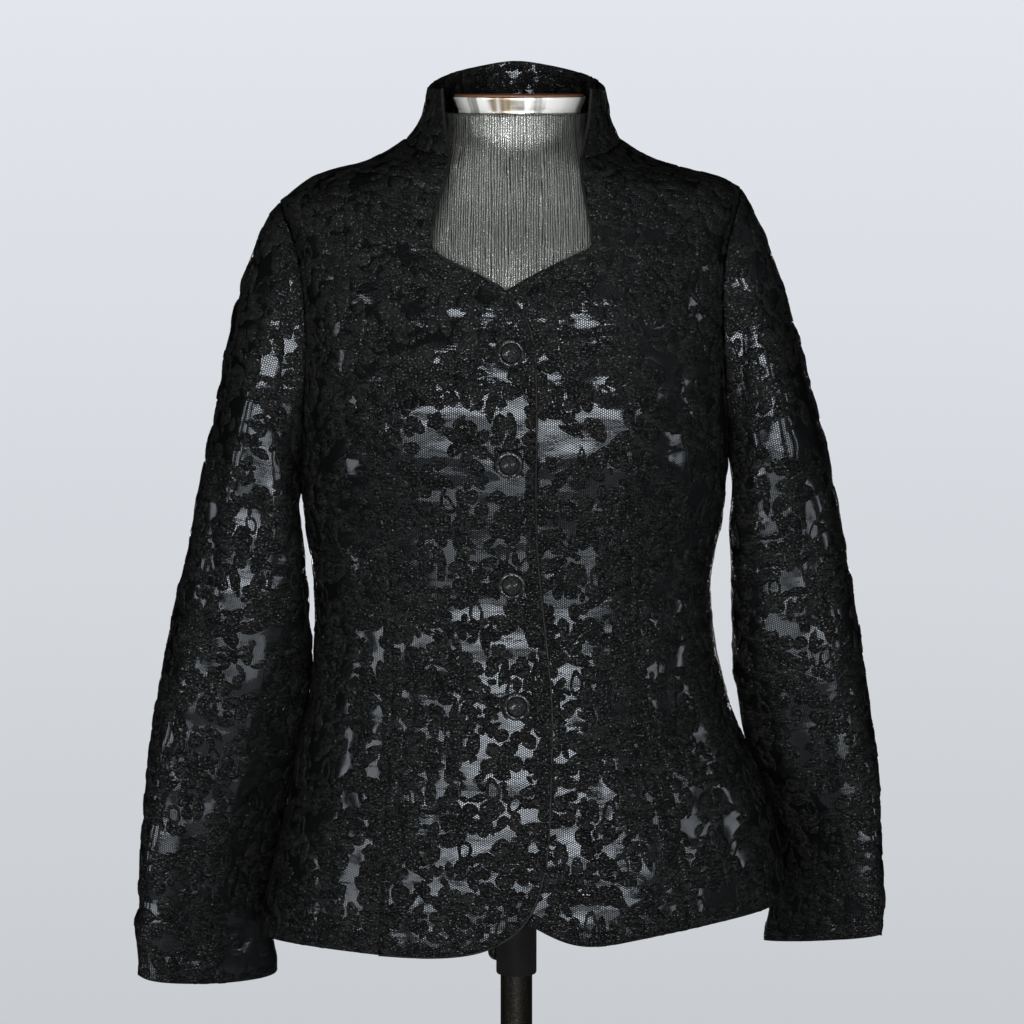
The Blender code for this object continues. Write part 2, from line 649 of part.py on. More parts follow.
def inset_border(cloth, distance):
    """Draw every border point in along the sheet, square to the border."""
    links = boundary_links(cloth["faces"])
    points, moved = cloth["points"], {}
    for index, link in links.items():
        normal = cloth["normals"][index]
        inward = []
        for start, end in ((link["before"], index), (index, link["after"])):
            inward.append(normal.cross(points[end] - points[start]).normalized())
        face_side = face_normal(points, next(f for f in cloth["faces"] if index in f)).dot(normal)
        sign = 1.0 if face_side > 0.0 else -1.0
        mitre = (inward[0] + inward[1]) / max(1.0 + inward[0].dot(inward[1]), 0.3)
        moved[index] = points[index] + mitre * distance * sign
    for index, point in moved.items():
        points[index] = point


def face_normal(points, face):
    a, b, c, d = (points[i] for i in face)
    return (c - a).cross(d - b)


def wall(name, cloth, material, thickness=CLOTH):
    """Close a sheet of outer points into a wall of cloth, thickness inward."""
    mesh = bmesh.new()
    outer = [mesh.verts.new(point) for point in cloth["points"]]
    inner = [mesh.verts.new(point - normal * thickness)
             for point, normal in zip(cloth["points"], cloth["normals"])]
    for face in cloth["faces"]:
        mesh.faces.new([outer[i] for i in face])
        mesh.faces.new([inner[i] for i in reversed(face)])
    for start, link in boundary_links(cloth["faces"]).items():
        end = link["after"]
        mesh.faces.new([outer[end], outer[start], inner[start], inner[end]])
    bmesh.ops.recalc_face_normals(mesh, faces=mesh.faces)
    return finish_mesh(name, mesh, material)


def front_panel(side, material):
    """One front: centre block up to the shoulder, and the block under the armhole."""
    edge = front_edge_line(side)
    guide = guide_line(side)
    seam = side_front_line(side) + guide[1:]
    hem = hem_line(side, 0.0, seam_hem_share(side), edge[0], seam[0],
                   COLLAR_SEAM_STEPS + SHOULDER_INNER_STEPS)
    shoulder = shoulder_line(side)
    top = collar_seam_front(side) + shoulder[1:SHOULDER_INNER_STEPS + 1]
    cloth = new_cloth()
    lift = lap_lift if side == RIGHT else None
    add_body_grid(cloth, coons(hem, top, edge, seam), lift)
    dart = dart_line(side)
    armhole = [dart[-1]] + armhole_line(side, behind=False)
    add_body_grid(cloth, coons(dart, shoulder[SHOULDER_INNER_STEPS:], guide, armhole), lift)
    inset_border(cloth, SEAM_INSET)
    return wall(side_name("front", side), cloth, material)


def side_front_panel(side, material):
    """The panel between the side-front seam, the bust dart, the side seam and the hem."""
    seam, side_seam = side_front_line(side), side_line(side)
    hem = hem_line(side, seam_hem_share(side), 1.0, seam[0], side_seam[0], SHOULDER_OUTER_STEPS)
    cloth = new_cloth()
    add_body_grid(cloth, coons(hem, dart_line(side), seam, side_seam))
    inset_border(cloth, SEAM_INSET)
    return wall(side_name("side_front", side), cloth, material)


def back_panel(material):
    """The back in one piece, from one side seam round to the other."""
    lines = {}
    for side in (RIGHT, LEFT):
        line = side_line(side) + armhole_line(side, behind=True)
        if side == LEFT:
            line = [(angle - 360.0, height) for angle, height in line]
        lines[side] = line
    right_shoulder = list(reversed(shoulder_line(RIGHT)))
    left_shoulder = [(angle - 360.0, height) for angle, height in shoulder_line(LEFT)]
    top = right_shoulder + collar_seam_back()[1:] + left_shoulder[1:]
    columns = len(top) - 1
    hem = []
    for j in range(columns + 1):
        share = j / columns
        ends = lines[RIGHT][0][1] + (lines[LEFT][0][1] - lines[RIGHT][0][1]) * share
        height = ends + (HEM_BACK - ends) * sin(pi * share) ** 2
        hem.append((-90.0 - 180.0 * share, height))
    cloth = new_cloth()
    add_body_grid(cloth, coons(hem, top, lines[RIGHT], lines[LEFT]))
    inset_border(cloth, SEAM_INSET)
    return wall("back", cloth, material)


def side_name(piece, side):
    return piece + ("_right" if side == RIGHT else "_left")


# Collar

def collar_top_point(azimuth):
    """A point of the collar's top edge at an angle from the front, in degrees."""
    turn = radians(azimuth)
    deep = COLLAR_TOP_FRONT if cos(turn) >= 0.0 else COLLAR_TOP_BACK
    radius = superellipse_radius(turn, COLLAR_HALF, deep, COLLAR_SQUARE)
    away = abs(azimuth) if abs(azimuth) <= 180.0 else 360.0 - abs(azimuth)
    height = table_row(COLLAR_EDGE, 0, away).height
    return Vector((radius * sin(turn), -radius * cos(turn), height))


def collar(material):
    """The stand collar: up from its seam, leaning in, then upright."""
    seam = collar_seam_front(RIGHT) + collar_seam_back()[1:]
    seam += [(angle - 360.0, height) for angle, height in reversed(collar_seam_front(LEFT))][1:]
    start, end = seam[0][0], seam[-1][0]
    points, rows = [], COLLAR_ROWS
    for angle, height in seam:
        base = body_point(angle, height)
        share = (angle - start) / (end - start)
        azimuth = -COLLAR_FRONT_AZIMUTH - (360.0 - 2.0 * COLLAR_FRONT_AZIMUTH) * share
        top = collar_top_point(azimuth)
        bend = Vector((top.x, top.y, base.z + (top.z - base.z) * 0.38)).lerp(base, 0.12)
        bend.z = base.z + (top.z - base.z) * 0.36
        points.append([base.lerp(bend, r / rows).lerp(bend.lerp(top, r / rows), r / rows)
                       for r in range(rows + 1)])
    grid = [[column[r] for column in points] for r in range(rows + 1)]
    cloth = sheet_from_points(grid, closed=False)
    inset_border(cloth, SEAM_INSET)
    return wall("collar", cloth, material)


def sheet_from_points(grid, closed):
    """A cloth sheet through rows of points, with its outward directions."""
    cloth = new_cloth()
    count = len(grid[0])
    keys = []
    for row in grid:
        keys.append(list(range(len(cloth["points"]), len(cloth["points"]) + count)))
        cloth["points"] += row
    add_quads(cloth, keys, closed)
    sums = [Vector() for _ in cloth["points"]]
    for face in cloth["faces"]:
        normal = face_normal(cloth["points"], face)
        for index in face:
            sums[index] += normal
    centre = sum(cloth["points"], Vector()) / len(cloth["points"])
    outward = sum((normal.dot(point - centre) for normal, point in zip(sums, cloth["points"])))
    sign = 1.0 if outward > 0.0 else -1.0
    cloth["normals"] = [normal.normalized() * sign for normal in sums]
    return cloth


# Sleeves

def sleeve_row(side, share):
    """The sleeve's table, read at a share of its length."""
    rows = SLEEVE[side]
    place = share * (len(rows) - 1)
    index = min(int(place), len(rows) - 2)
    values = []
    for column in range(len(rows[0])):
        points = [rows[max(index - 1, 0)][column], rows[index][column],
                  rows[index + 1][column], rows[min(index + 2, len(rows) - 1)][column]]
        slopes = ((points[2] - points[0]) / 2.0, (points[3] - points[1]) / 2.0)
        values.append(hermite(points[1], points[2], slopes[0], slopes[1], place - index))
    return SleeveRow(*values)


def sleeve_ends(side, share):
    """The outer and inner points of the sleeve's ring, and half its depth."""
    row = sleeve_row(side, share)
    out = Vector((side * row.out_x, row.out_y, row.out_z))
    inner = Vector((side * row.in_x, row.in_y, row.in_z))
    return out, inner, row.deep


def fold_depth(side, angle, share):
    """Depth of the sleeve's folds at an angle round it and a share of its length."""
    total = 0.0
    for fold in SLEEVE_FOLDS[side]:
        along = (share - fold.start) / (fold.end - fold.start)
        if 0.0 < along < 1.0:
            centre = fold.angle + fold.turn * (along - 0.5)
            away = ((angle - centre + 180.0) % 360.0 - 180.0) / fold.width
            total += fold.depth * sin(pi * along) * exp(-away * away)
    return total


def sleeve_ring(side, share, sides):
    """One ring of the sleeve: 0 degrees is its outer line and 90 its front."""
    out, inner, deep = sleeve_ends(side, share)
    step = 0.02
    before, after = sleeve_ends(side, max(share - step, 0.0)), sleeve_ends(side, min(share + step, 1.0))
    axis = (after[0] + after[1]) - (before[0] + before[1])
    across = (out - inner) / 2.0
    forward = axis.cross(across).normalized()
    if forward.y > 0.0:
        forward = -forward
    centre = (out + inner) / 2.0
    sag = CUFF_SAG[side] * smooth_step(CUFF_SAG_START, 1.0, share)
    ring = []
    for j in range(sides):
        turn = 2.0 * pi * j / sides
        radius = superellipse_radius(turn, 1.0, 1.0, SLEEVE_SQUARE)
        fold = fold_depth(side, turn * 180.0 / pi, share)
        scale = radius * (1.0 - fold / deep)
        point = centre + across * cos(turn) * radius + forward * sin(turn) * deep * scale
        point.z -= sag * max(sin(turn), 0.0)
        ring.append(point)
    return ring


def armhole_ring(side):
    """The armhole's edge as points, from the shoulder tip down the front and up the back."""
    front = list(reversed(armhole_line(side, behind=False)))
    back = armhole_line(side, behind=True)
    return [body_point(angle, height) for angle, height in front + back[1:-1]]


def sleeve(side, material):
    """One sleeve: a tube from the armhole to the cuff."""
    hole = armhole_ring(side)
    sides = len(hole)
    shift = Vector((side * SLEEVE_SHIFT, 0.0, 0.0))
    grid = []
    for k in range(SLEEVE_RINGS):
        ring = sleeve_ring(side, k / (SLEEVE_RINGS - 1), sides)
        if k < len(CAP_BLEND):
            ring = [(edge + shift).lerp(point, CAP_BLEND[k]) for edge, point in zip(hole, ring)]
        grid.append(ring)
    cloth = sheet_from_points(grid, closed=True)
    front = list(reversed(armhole_line(side, behind=False)))
    rim = front + armhole_line(side, behind=True)[1:-1]
    for j, (angle, height) in enumerate(rim):
        top = max(cos(2.0 * pi * j / sides), 0.0)
        cloth["normals"][j] = cloth["normals"][j].lerp(body_normal(angle, height), top).normalized()
    return wall(side_name("sleeve", side), cloth, material)


# Buttons

def button(number, place, material):
    """A domed covered button that sits on the right front."""
    angle = angle_at_x(place.x, place.height)
    normal = body_normal(angle, place.height)
    seat = body_point(angle, place.height) + normal * (LAP_LIFT + BUTTON_SEAT)
    profile = [(0.0, 0.0), (BUTTON_RADIUS * 0.86, 0.0), (BUTTON_RADIUS, BUTTON_RIM * 0.6)]
    for i in range(1, 5):
        turn = pi / 2.0 * i / 4
        profile.append((BUTTON_RADIUS * cos(turn), BUTTON_RIM * 0.6 + BUTTON_DOME * sin(turn)))
    profile[-1] = (0.0, profile[-1][1])
    piece = turned("button_%d" % number, profile, 16, material)
    piece.location = seat
    piece.rotation_mode = "QUATERNION"
    piece.rotation_quaternion = Vector((0.0, 0.0, 1.0)).rotation_difference(normal)
    return piece


# Dress form and stand

def form_point(angle, height):
    """A point of the dress form at an angle from the front and a height."""
    row = table_row(FORM, 0, height)
    seat = table_row(BODY, 0, min(height + SHOULDER_SEAT, BODY[-1].height))
    turn = radians(angle)
    cloth_half = seat.left if sin(turn) >= 0.0 else seat.right
    half = min(row.half, cloth_half) if height > SHOULDER_TIP[RIGHT] else row.half
    deep = row.front if cos(turn) >= 0.0 else row.back
    radius = superellipse_radius(turn, half, deep, row.square)
    x, y = radius * sin(turn), -radius * cos(turn)
    if cos(turn) > 0.0:
        y -= bust(x, height, FORM_BUST_REACH) * cos(turn) ** 0.5
    return Vector((x, y, height))


def dress_form(material):
    """The limbless torso, closed at the neck and underneath."""
    mesh = bmesh.new()
    rings = []
    for row in FORM:
        ring = [mesh.verts.new(form_point(360.0 * j / FORM_SIDES, row.height)) for j in range(FORM_SIDES)]
        rings.append(ring)
    for lower, upper in zip(rings, rings[1:]):
        for j in range(FORM_SIDES):
            after = (j + 1) % FORM_SIDES
            mesh.faces.new([lower[j], lower[after], upper[after], upper[j]])
    mesh.faces.new(list(reversed(rings[0])))
    mesh.faces.new(rings[-1])
    bmesh.ops.recalc_face_normals(mesh, faces=mesh.faces)
    return finish_mesh("dress_form", mesh, material)


def turned(name, profile, sides, material):
    """A solid turned round Z from (radius, height) points that start and end on the axis."""
    mesh = bmesh.new()
    rings = []
    for radius, height in profile:
        count = sides if radius > 0.0 else 1
        rings.append([mesh.verts.new((radius * cos(2.0 * pi * j / sides),
                                      radius * sin(2.0 * pi * j / sides), height))
                      for j in range(count)])
    for lower, upper in zip(rings, rings[1:]):
        for j in range(sides):
            after = (j + 1) % sides
            corners = [lower[j % len(lower)], lower[after % len(lower)],
                       upper[after % len(upper)], upper[j % len(upper)]]
            mesh.faces.new(list(dict.fromkeys(corners)))
    bmesh.ops.recalc_face_normals(mesh, faces=mesh.faces)
    return finish_mesh(name, mesh, material)


def neck_ring(material):
    """The bright flared ring on top of the neck."""
    waist = RING_BASE + (RING_TOP - RING_BASE) * 0.25
    profile = [(0.0, RING_BASE), (RING_LOWER_RADIUS, RING_BASE), (RING_LOWER_RADIUS, waist),
               (RING_UPPER_RADIUS, RING_TOP - 0.0020), (RING_UPPER_RADIUS, RING_TOP), (0.0, RING_TOP)]
    piece = turned("neck_ring", profile, 32, material)
    piece.location.x = RING_X
    return piece


def neck_cap(material):
    """The thin wooden disc that closes the ring."""
    bottom = RING_TOP + GAP
    profile = [(0.0, bottom), (CAP_RADIUS, bottom), (CAP_RADIUS, bottom + CAP_THICKNESS * 0.6),
               (CAP_RADIUS - 0.0015, bottom + CAP_THICKNESS), (0.0, bottom + CAP_THICKNESS)]
    piece = turned("neck_cap", profile, 32, material)
    piece.location.x = RING_X
    return piece


def socket(material):
    """The black sleeve under the form that the pole slides into."""
    top = FORM[0].height - GAP
    bore = POLE_RADIUS + GAP
    profile = [(0.0, top), (SOCKET_RADIUS + 0.008, top), (SOCKET_RADIUS + 0.008, top - 0.006),
               (SOCKET_RADIUS, top - 0.014), (SOCKET_RADIUS, SOCKET_BOTTOM + 0.001),
               (SOCKET_RADIUS - 0.001, SOCKET_BOTTOM), (bore, SOCKET_BOTTOM),
               (bore, SOCKET_BOTTOM + SOCKET_BORE_DEPTH), (0.0, SOCKET_BOTTOM + SOCKET_BORE_DEPTH)]
    return turned("socket", profile, POLE_SIDES, material)


def pole(material):
    top = SOCKET_BOTTOM + SOCKET_BORE_DEPTH - GAP
    bottom = BORE_FLOOR + GAP
    profile = [(0.0, bottom), (POLE_RADIUS, bottom), (POLE_RADIUS, top), (0.0, top)]
    return turned("pole", profile, POLE_SIDES, material)


def clamp_knob(material):
    """The round clamp knob on the socket, with its short stem."""
    profile = [(0.0, 0.0), (STEM_RADIUS, 0.0), (STEM_RADIUS, STEM_LENGTH),
               (KNOB_RADIUS * 0.85, STEM_LENGTH), (KNOB_RADIUS, STEM_LENGTH + KNOB_LENGTH * 0.2),
               (KNOB_RADIUS, STEM_LENGTH + KNOB_LENGTH * 0.7),
               (KNOB_RADIUS * 0.7, STEM_LENGTH + KNOB_LENGTH), (0.0, STEM_LENGTH + KNOB_LENGTH)]
    piece = turned("clamp_knob", profile, 16, material)
    turn = radians(KNOB_AZIMUTH)
    outward = Vector((sin(turn), -cos(turn), 0.0))
    piece.rotation_mode = "QUATERNION"
    piece.rotation_quaternion = Vector((0.0, 0.0, 1.0)).rotation_difference(outward)
    piece.location = outward * (SOCKET_RADIUS + GAP) + Vector((0.0, 0.0, KNOB_HEIGHT))
    return piece


def stand_base(material):
    """The plain round base plate with the hub that holds the pole."""
    bore = POLE_RADIUS + GAP
    profile = [(0.0, 0.0), (BASE_RADIUS, 0.0), (BASE_RADIUS, BASE_THICKNESS * 0.6),
               (BASE_RADIUS - 0.005, BASE_THICKNESS), (HUB_RADIUS + 0.012, BASE_THICKNESS + 0.004),
               (HUB_RADIUS, BASE_THICKNESS + 0.012), (HUB_RADIUS, HUB_TOP - 0.003),
               (HUB_RADIUS - 0.003, HUB_TOP), (bore, HUB_TOP), (bore, BORE_FLOOR), (0.0, BORE_FLOOR)]
    return turned("stand_base", profile, BASE_SIDES, material)


# Materials and objects

def make_material(name, colour, roughness, metallic=0.0):
    material = bpy.data.materials.new(name)
    material.use_nodes = True
    shader = material.node_tree.nodes["Principled BSDF"]
    shader.inputs["Base Color"].default_value = (*colour, 1.0)
    shader.inputs["Roughness"].default_value = roughness
    shader.inputs["Metallic"].default_value = metallic
    material.diffuse_color = (*colour, 1.0)
    return material


def finish_mesh(name, mesh, material):
    """Turn a bmesh into a smooth-shaded object in the blazer's collection."""
    data = bpy.data.meshes.new(name)
    mesh.to_mesh(data)
    mesh.free()
    data.materials.append(material)
    data.shade_smooth()
    data.set_sharp_from_angle(angle=radians(50.0))
    piece = bpy.data.objects.new(name, data)
    bpy.data.collections["lace_blazer"].objects.link(piece)
    return piece


def main():
    for old in list(bpy.data.objects):
        bpy.data.objects.remove(old, do_unlink=True)
    group = bpy.data.collections.new("lace_blazer")
    bpy.context.scene.collection.children.link(group)
    lace = make_material("lace_cloth", (0.035, 0.036, 0.042), 0.75)
    covered = make_material("covered_button", (0.030, 0.030, 0.036), 0.60)
    cover = make_material("form_cover", (0.55, 0.57, 0.60), 0.35, 0.6)
    chrome = make_material("chrome", (0.80, 0.80, 0.82), 0.08, 1.0)
    wood = make_material("cap_wood", (0.30, 0.13, 0.07), 0.45)
    black = make_material("black_plastic", (0.015, 0.015, 0.017), 0.35)
    steel = make_material("pole_finish", (0.05, 0.045, 0.04), 0.40, 0.8)
    iron = make_material("base_finish", (0.03, 0.03, 0.03), 0.45, 0.3)
    for side in (RIGHT, LEFT):
        front_panel(side, lace)
        side_front_panel(side, lace)
        sleeve(side, lace)
    back_panel(lace)
    collar(lace)
    for number, place in enumerate(BUTTONS, start=1):
        button(number, place, covered)
    dress_form(cover)
    neck_ring(chrome)
    neck_cap(wood)
    socket(black)
    clamp_knob(black)
    pole(steel)
    stand_base(iron)


main()
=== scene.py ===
"""Looks of the lace blazer on its dress form: cloth, lace, buttons, form, stand, floor, light and camera."""
import itertools
import math
from collections import Counter, namedtuple

import bmesh
import bpy
import numpy as np
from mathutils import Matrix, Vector
from mathutils.bvhtree import BVHTree
from mathutils.kdtree import KDTree

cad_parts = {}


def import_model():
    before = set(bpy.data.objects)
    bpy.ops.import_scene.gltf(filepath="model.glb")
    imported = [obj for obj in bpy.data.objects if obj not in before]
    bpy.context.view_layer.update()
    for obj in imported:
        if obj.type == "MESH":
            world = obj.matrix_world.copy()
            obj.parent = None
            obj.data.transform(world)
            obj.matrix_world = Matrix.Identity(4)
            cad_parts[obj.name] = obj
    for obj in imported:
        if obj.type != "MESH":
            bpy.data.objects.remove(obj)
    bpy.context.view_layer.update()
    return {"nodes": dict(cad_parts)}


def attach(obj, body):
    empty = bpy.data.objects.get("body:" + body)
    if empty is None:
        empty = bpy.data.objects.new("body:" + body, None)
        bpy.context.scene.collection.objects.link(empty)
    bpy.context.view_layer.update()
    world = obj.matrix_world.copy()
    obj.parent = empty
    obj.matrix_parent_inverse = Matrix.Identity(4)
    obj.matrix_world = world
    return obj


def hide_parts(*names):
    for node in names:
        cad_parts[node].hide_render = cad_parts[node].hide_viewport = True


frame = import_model()

MM = 0.001
UP = Vector((0.0, 0.0, 1.0))


def table(columns, rows):
    """Rows whose columns have names."""
    make = namedtuple("Row", columns)
    return [make(*row) for row in rows]


# Cloth panels. Width, length and area are those of the flat cut, in metres.
PANELS = table("node tube width length area rests_on", [
    ("back", False, 0.549, 0.689, 0.2746, ["dress_form"]),
    ("front_left", False, 0.285, 0.688, 0.0936, ["dress_form"]),
    ("front_right", False, 0.292, 0.694, 0.0959, ["dress_form"]),
    ("side_front_left", False, 0.171, 0.417, 0.0495, ["dress_form"]),
    ("side_front_right", False, 0.159, 0.446, 0.0511, ["dress_form"]),
    ("collar", False, 0.395, 0.068, 0.0173, ["back"]),
    ("sleeve_left", True, 0.338, 0.634, 0.1571, ["back", "front_left"]),
    ("sleeve_right", True, 0.350, 0.639, 0.1731, ["back", "front_right"]),
])
RIM_EDGE = 1.6 * MM            # only the wall's rim has edges this short
WELD = 0.01 * MM               # points nearer than this are one
CLOTH_FOLD, FORM_FOLD, SKEW = 70, 40, 110    # limits in degrees for joining two triangles to a quad
SHELL = 0.9 * MM               # the cloth shell is thinner than the solid wall that it stands for
CLOTH_LEVELS, FORM_LEVELS = 3, 2
CORNER_TURN = 35.0             # degrees at which an edge of a panel turns a corner
FORM_EDGE, FORM_CREASE = 50.0, 0.9    # edges of the form that turn this much stay this sharp
CORE_TOP = 1.25                # the body's outward side is judged from points on its axis up to here
CUFF_BAND, BACKWARD = 80 * MM, 0.3    # a sleeve opens from its cuff's innermost point, a little to the back
MOST_ROOM = 12.0 * MM          # other pieces further off than this don't matter
ROOM_SHARE = 0.45
SEAM_TUCK, SEAM_TUCK_WIDTH = 0.12 * MM, 2.6 * MM

# Seeds of the random draws. A seam's number is added to its own.
REPEAT_SEED, LACE_SEED, SEAM_SEED, OPENING_SEED, BINDING_SEED = 11, 23, 60, 77, 31

# Small crinkles of the whole cloth: wavelengths and height in millimetres
CRINKLES = table("across up height seed", [
    (62, 36, 1.00, 2), (44, 17, 1.20, 3), (24, 9.5, 0.85, 5), (13, 9, 0.45, 9),
])
FULLNESS, DEEPEST = 1.0 * MM, 0.55 * MM    # the crinkled cloth stands out this far, and dips this far at most
EDGE_FADE = 15.0 * MM          # crinkles and creases die out over this distance to a panel's edge

# Creases, as seen from one side, in millimetres. Each is deepest where it starts.
CREASES = table("view across height end_across end_height width depth", [
    ("front", -12, 1212, -75, 1232, 6.0, 1.4),
    ("front", -14, 1206, -90, 1200, 5.5, -1.2),
    ("front", 12, 1214, 70, 1236, 6.0, 1.2),
    ("front", 13, 1207, 85, 1196, 5.5, -1.2),
    ("front", -12, 1116, -82, 1140, 6.5, 1.4),
    ("front", -14, 1110, -70, 1096, 6.0, -1.1),
    ("front", 10, 1118, 66, 1136, 6.0, 1.3),
    ("front", 12, 1110, 78, 1094, 6.0, -1.1),
    ("front", -150, 1128, -85, 1118, 7.0, 1.6),
    ("front", -152, 1108, -92, 1098, 6.5, -1.4),
    ("front", 152, 1130, 88, 1120, 7.0, 1.6),
    ("front", 154, 1110, 94, 1102, 6.5, -1.4),
    ("front", -10, 1022, -60, 1040, 6.0, 1.0),
    ("front", 12, 1020, 58, 1036, 6.0, 1.0),
    ("front", -186, 1365, -226, 1150, 6.0, 2.6),
    ("front", -176, 1350, -196, 1120, 5.0, -2.2),
    ("front", -206, 1300, -256, 1010, 8.0, 2.4),
    ("front", -190, 1190, -214, 960, 6.5, 2.2),
    ("front", -236, 1180, -262, 900, 7.0, -2.0),
    ("front", -215, 1010, -240, 860, 6.0, 2.0),
    ("front", 184, 1365, 216, 1160, 6.0, 2.6),
    ("front", 174, 1350, 188, 1130, 5.0, -2.2),
    ("front", 204, 1310, 240, 1040, 8.0, 2.4),
    ("front", 190, 1200, 206, 980, 6.5, 2.2),
    ("front", 228, 1180, 256, 900, 7.0, -2.0),
    ("front", 212, 1020, 232, 870, 6.0, 2.0),
    ("back", 186, 1360, 226, 1140, 6.5, 2.4),
    ("back", 206, 1280, 250, 1000, 8.0, -2.0),
    ("back", -190, 1360, -230, 1150, 6.5, 2.4),
    ("back", -212, 1270, -256, 980, 8.0, -2.0),
    ("left", -10, 1350, 12, 1120, 7.0, 1.6),
    ("left", 20, 1300, 0, 1040, 6.5, -1.2),
    ("left", -30, 1200, -45, 960, 7.0, 1.3),
    ("left", 10, 1060, -30, 880, 6.0, 1.2),
    ("right", -10, 1350, 14, 1130, 7.0, 1.6),
    ("right", 18, 1300, -4, 1050, 6.5, -1.2),
    ("right", -28, 1210, -48, 970, 7.0, 1.3),
    ("right", 8, 1060, -28, 880, 6.0, 1.2),
    ("back", -90, 1120, 70, 1128, 8.0, 1.6),
    ("back", -60, 1100, 95, 1094, 7.0, -1.3),
    ("back", -110, 1150, 20, 1158, 8.0, 1.2),
    ("back", -130, 1330, -50, 1300, 9.0, 1.4),
    ("back", 130, 1335, 55, 1296, 9.0, 1.4),
])
# Each side's axis across, and the way that it faces
VIEWS = {"front": (0, (0, -1)), "back": (0, (0, 1)), "left": (1, (1, 0)), "right": (1, (-1, 0))}
TURNED_AWAY, TURNED_TO = 0.05, 0.55    # a crease fades where the cloth turns away from its side
CREASE_END = 0.25              # share of a crease's depth that is left at its end

# The lace's repeat. Lengths are in millimetres of the flat cloth, angles in degrees.
REPEAT_WIDTH, REPEAT_LENGTH = 150, 190
# Petals round a centre: how far out they lie, and their sizes and the centre's, as shares of the flower
SIX, FIVE, SMALL = table("kind count reach length width centre", [
    ("petal", 6, 0.27, 0.48, 0.43, 0.20),
    ("petal", 5, 0.27, 0.48, 0.50, 0.20),
    ("lobe", 5, 0.29, 0.44, 0.44, 0.28),
])
FLOWERS = table("u v size petals turn", [
    (30, 32, 44, SIX, 10), (104, 20, 34, FIVE, 40), (72, 74, 40, FIVE, 0), (134, 84, 36, SIX, 25),
    (18, 112, 34, FIVE, 60), (92, 136, 46, SIX, 5), (44, 158, 36, FIVE, 20), (138, 158, 32, FIVE, 50),
    (64, 14, 15, SMALL, 0), (65, 31, 14, SMALL, 30), (63, 47, 13, SMALL, 10), (110, 52, 14, SMALL, 20),
    (111, 68, 13, SMALL, 50), (109, 101, 15, SMALL, 0), (48, 104, 14, SMALL, 15), (49, 120, 13, SMALL, 40),
    (120, 118, 13, SMALL, 5), (8, 150, 14, SMALL, 25), (7, 166, 13, SMALL, 0), (70, 174, 14, SMALL, 35),
])
LEAVES = table("u v length width angle", [
    (50, 58, 26, 9, 60), (8, 64, 24, 9, 115), (88, 46, 25, 9, 130), (128, 52, 22, 8, 75),
    (52, 86, 22, 8, 20), (98, 90, 24, 9, 45), (150, 112, 26, 9, 95), (70, 112, 25, 9, 120),
    (34, 134, 24, 9, 55), (66, 146, 22, 8, 160), (118, 140, 24, 9, 30), (112, 178, 26, 9, 100),
    (16, 182, 24, 8, 70), (84, 4, 22, 8, 25), (132, 4, 22, 8, 150), (2, 20, 22, 8, 80),
])
RINGS = table("u v length width angle", [
    (84, 24, 21, 11, 80), (12, 88, 20, 11, 100), (30, 78, 18, 10, 60), (118, 34, 18, 10, 115),
    (142, 134, 20, 11, 95), (64, 128, 20, 11, 85), (24, 170, 19, 10, 70), (92, 172, 20, 11, 105),
])
GAPS = table("u v across", [
    (48, 8, 16), (78, 40, 14), (96, 64, 16), (150, 42, 18), (120, 78, 13), (14, 48, 13), (44, 70, 14),
    (30, 96, 16), (80, 100, 14), (142, 102, 14), (62, 96, 13), (36, 118, 14), (120, 104, 13), (76, 158, 13),
    (22, 142, 16), (112, 160, 16), (126, 132, 13), (56, 138, 13), (24, 56, 11), (92, 8, 13), (146, 6, 16),
    (146, 178, 14), (56, 184, 14), (100, 108, 13), (86, 186, 13), (18, 16, 10), (120, 184, 10),
    (106, 36, 10),
])
# Round lobes that fill the ground between the motifs and the gaps: sizes, how many are tried, and how much
# of one may lie on other shapes and on a gap
FILLERS = table("lengths widths tries overlap on_gap", [
    ((12.0, 18.0), (9.0, 13.0), 220, 0.55, 0.20),
    ((7.0, 11.0), (5.0, 7.5), 260, 0.55, 0.25),
])
# Lobes that are laid along the panels' edges and over the seams
EDGE_LENGTHS, EDGE_WIDTHS, EDGE_INSET = (10, 16), (8, 11), 0.47
CROSSING_LENGTHS, CROSSING_WIDTHS, CROSSING_SHIFT = (9, 16), (7, 11), 0.3
CROSSING_STEP, EDGE_STEP = 8.5 * MM, 7.5 * MM
CROSSING_SAG = 0.004 * MM      # how far a shape on a seam bends down, for each square millimetre sideways
RIM_HEIGHT, CENTRE_RISE, LAYER_HEIGHT = 0.40 * MM, 0.12 * MM, 0.26 * MM
RIM_SINK = -0.08 * MM          # a shape's rim starts just under the cloth's face
# At this share a ring's face also gets about half of the painted rim shade.
RING_SHARE = 0.85              # a ring's face takes the tone of this share of the way out to a petal's rim
LIFT_ROOM, LEAST_LIFT = 1.6 * MM, 0.15    # lace lies flatter where another piece is this near
# How uneven each shape is: turn in degrees, size, and waves round its outline with their heights
UNEVEN_TURN, UNEVEN_SIZE = 8.0, (0.88, 1.14)
UNEVEN_WAVES = [(2, 0.05), (3, 0.07), (5, 0.05)]
ON_CLOTH = 0.1 * MM            # a point of the flat cut this near to it counts as on it
THREAD_SHIFT = 13 * MM         # moves the thread pattern on from shape to shape
PANEL_SHIFT = (37 * MM, 53 * MM)    # moves the repeat on from panel to panel
# The lace leaves wider openings where a noise of this size passes a limit, more of them along the bust
OPENING_ACROSS, OPENING_UP = 17 * MM, 14 * MM
BUST_LOW, BUST_HIGH, BUST_LIMIT, OTHER_LIMIT = 1.195, 1.265, 0.06, 0.60

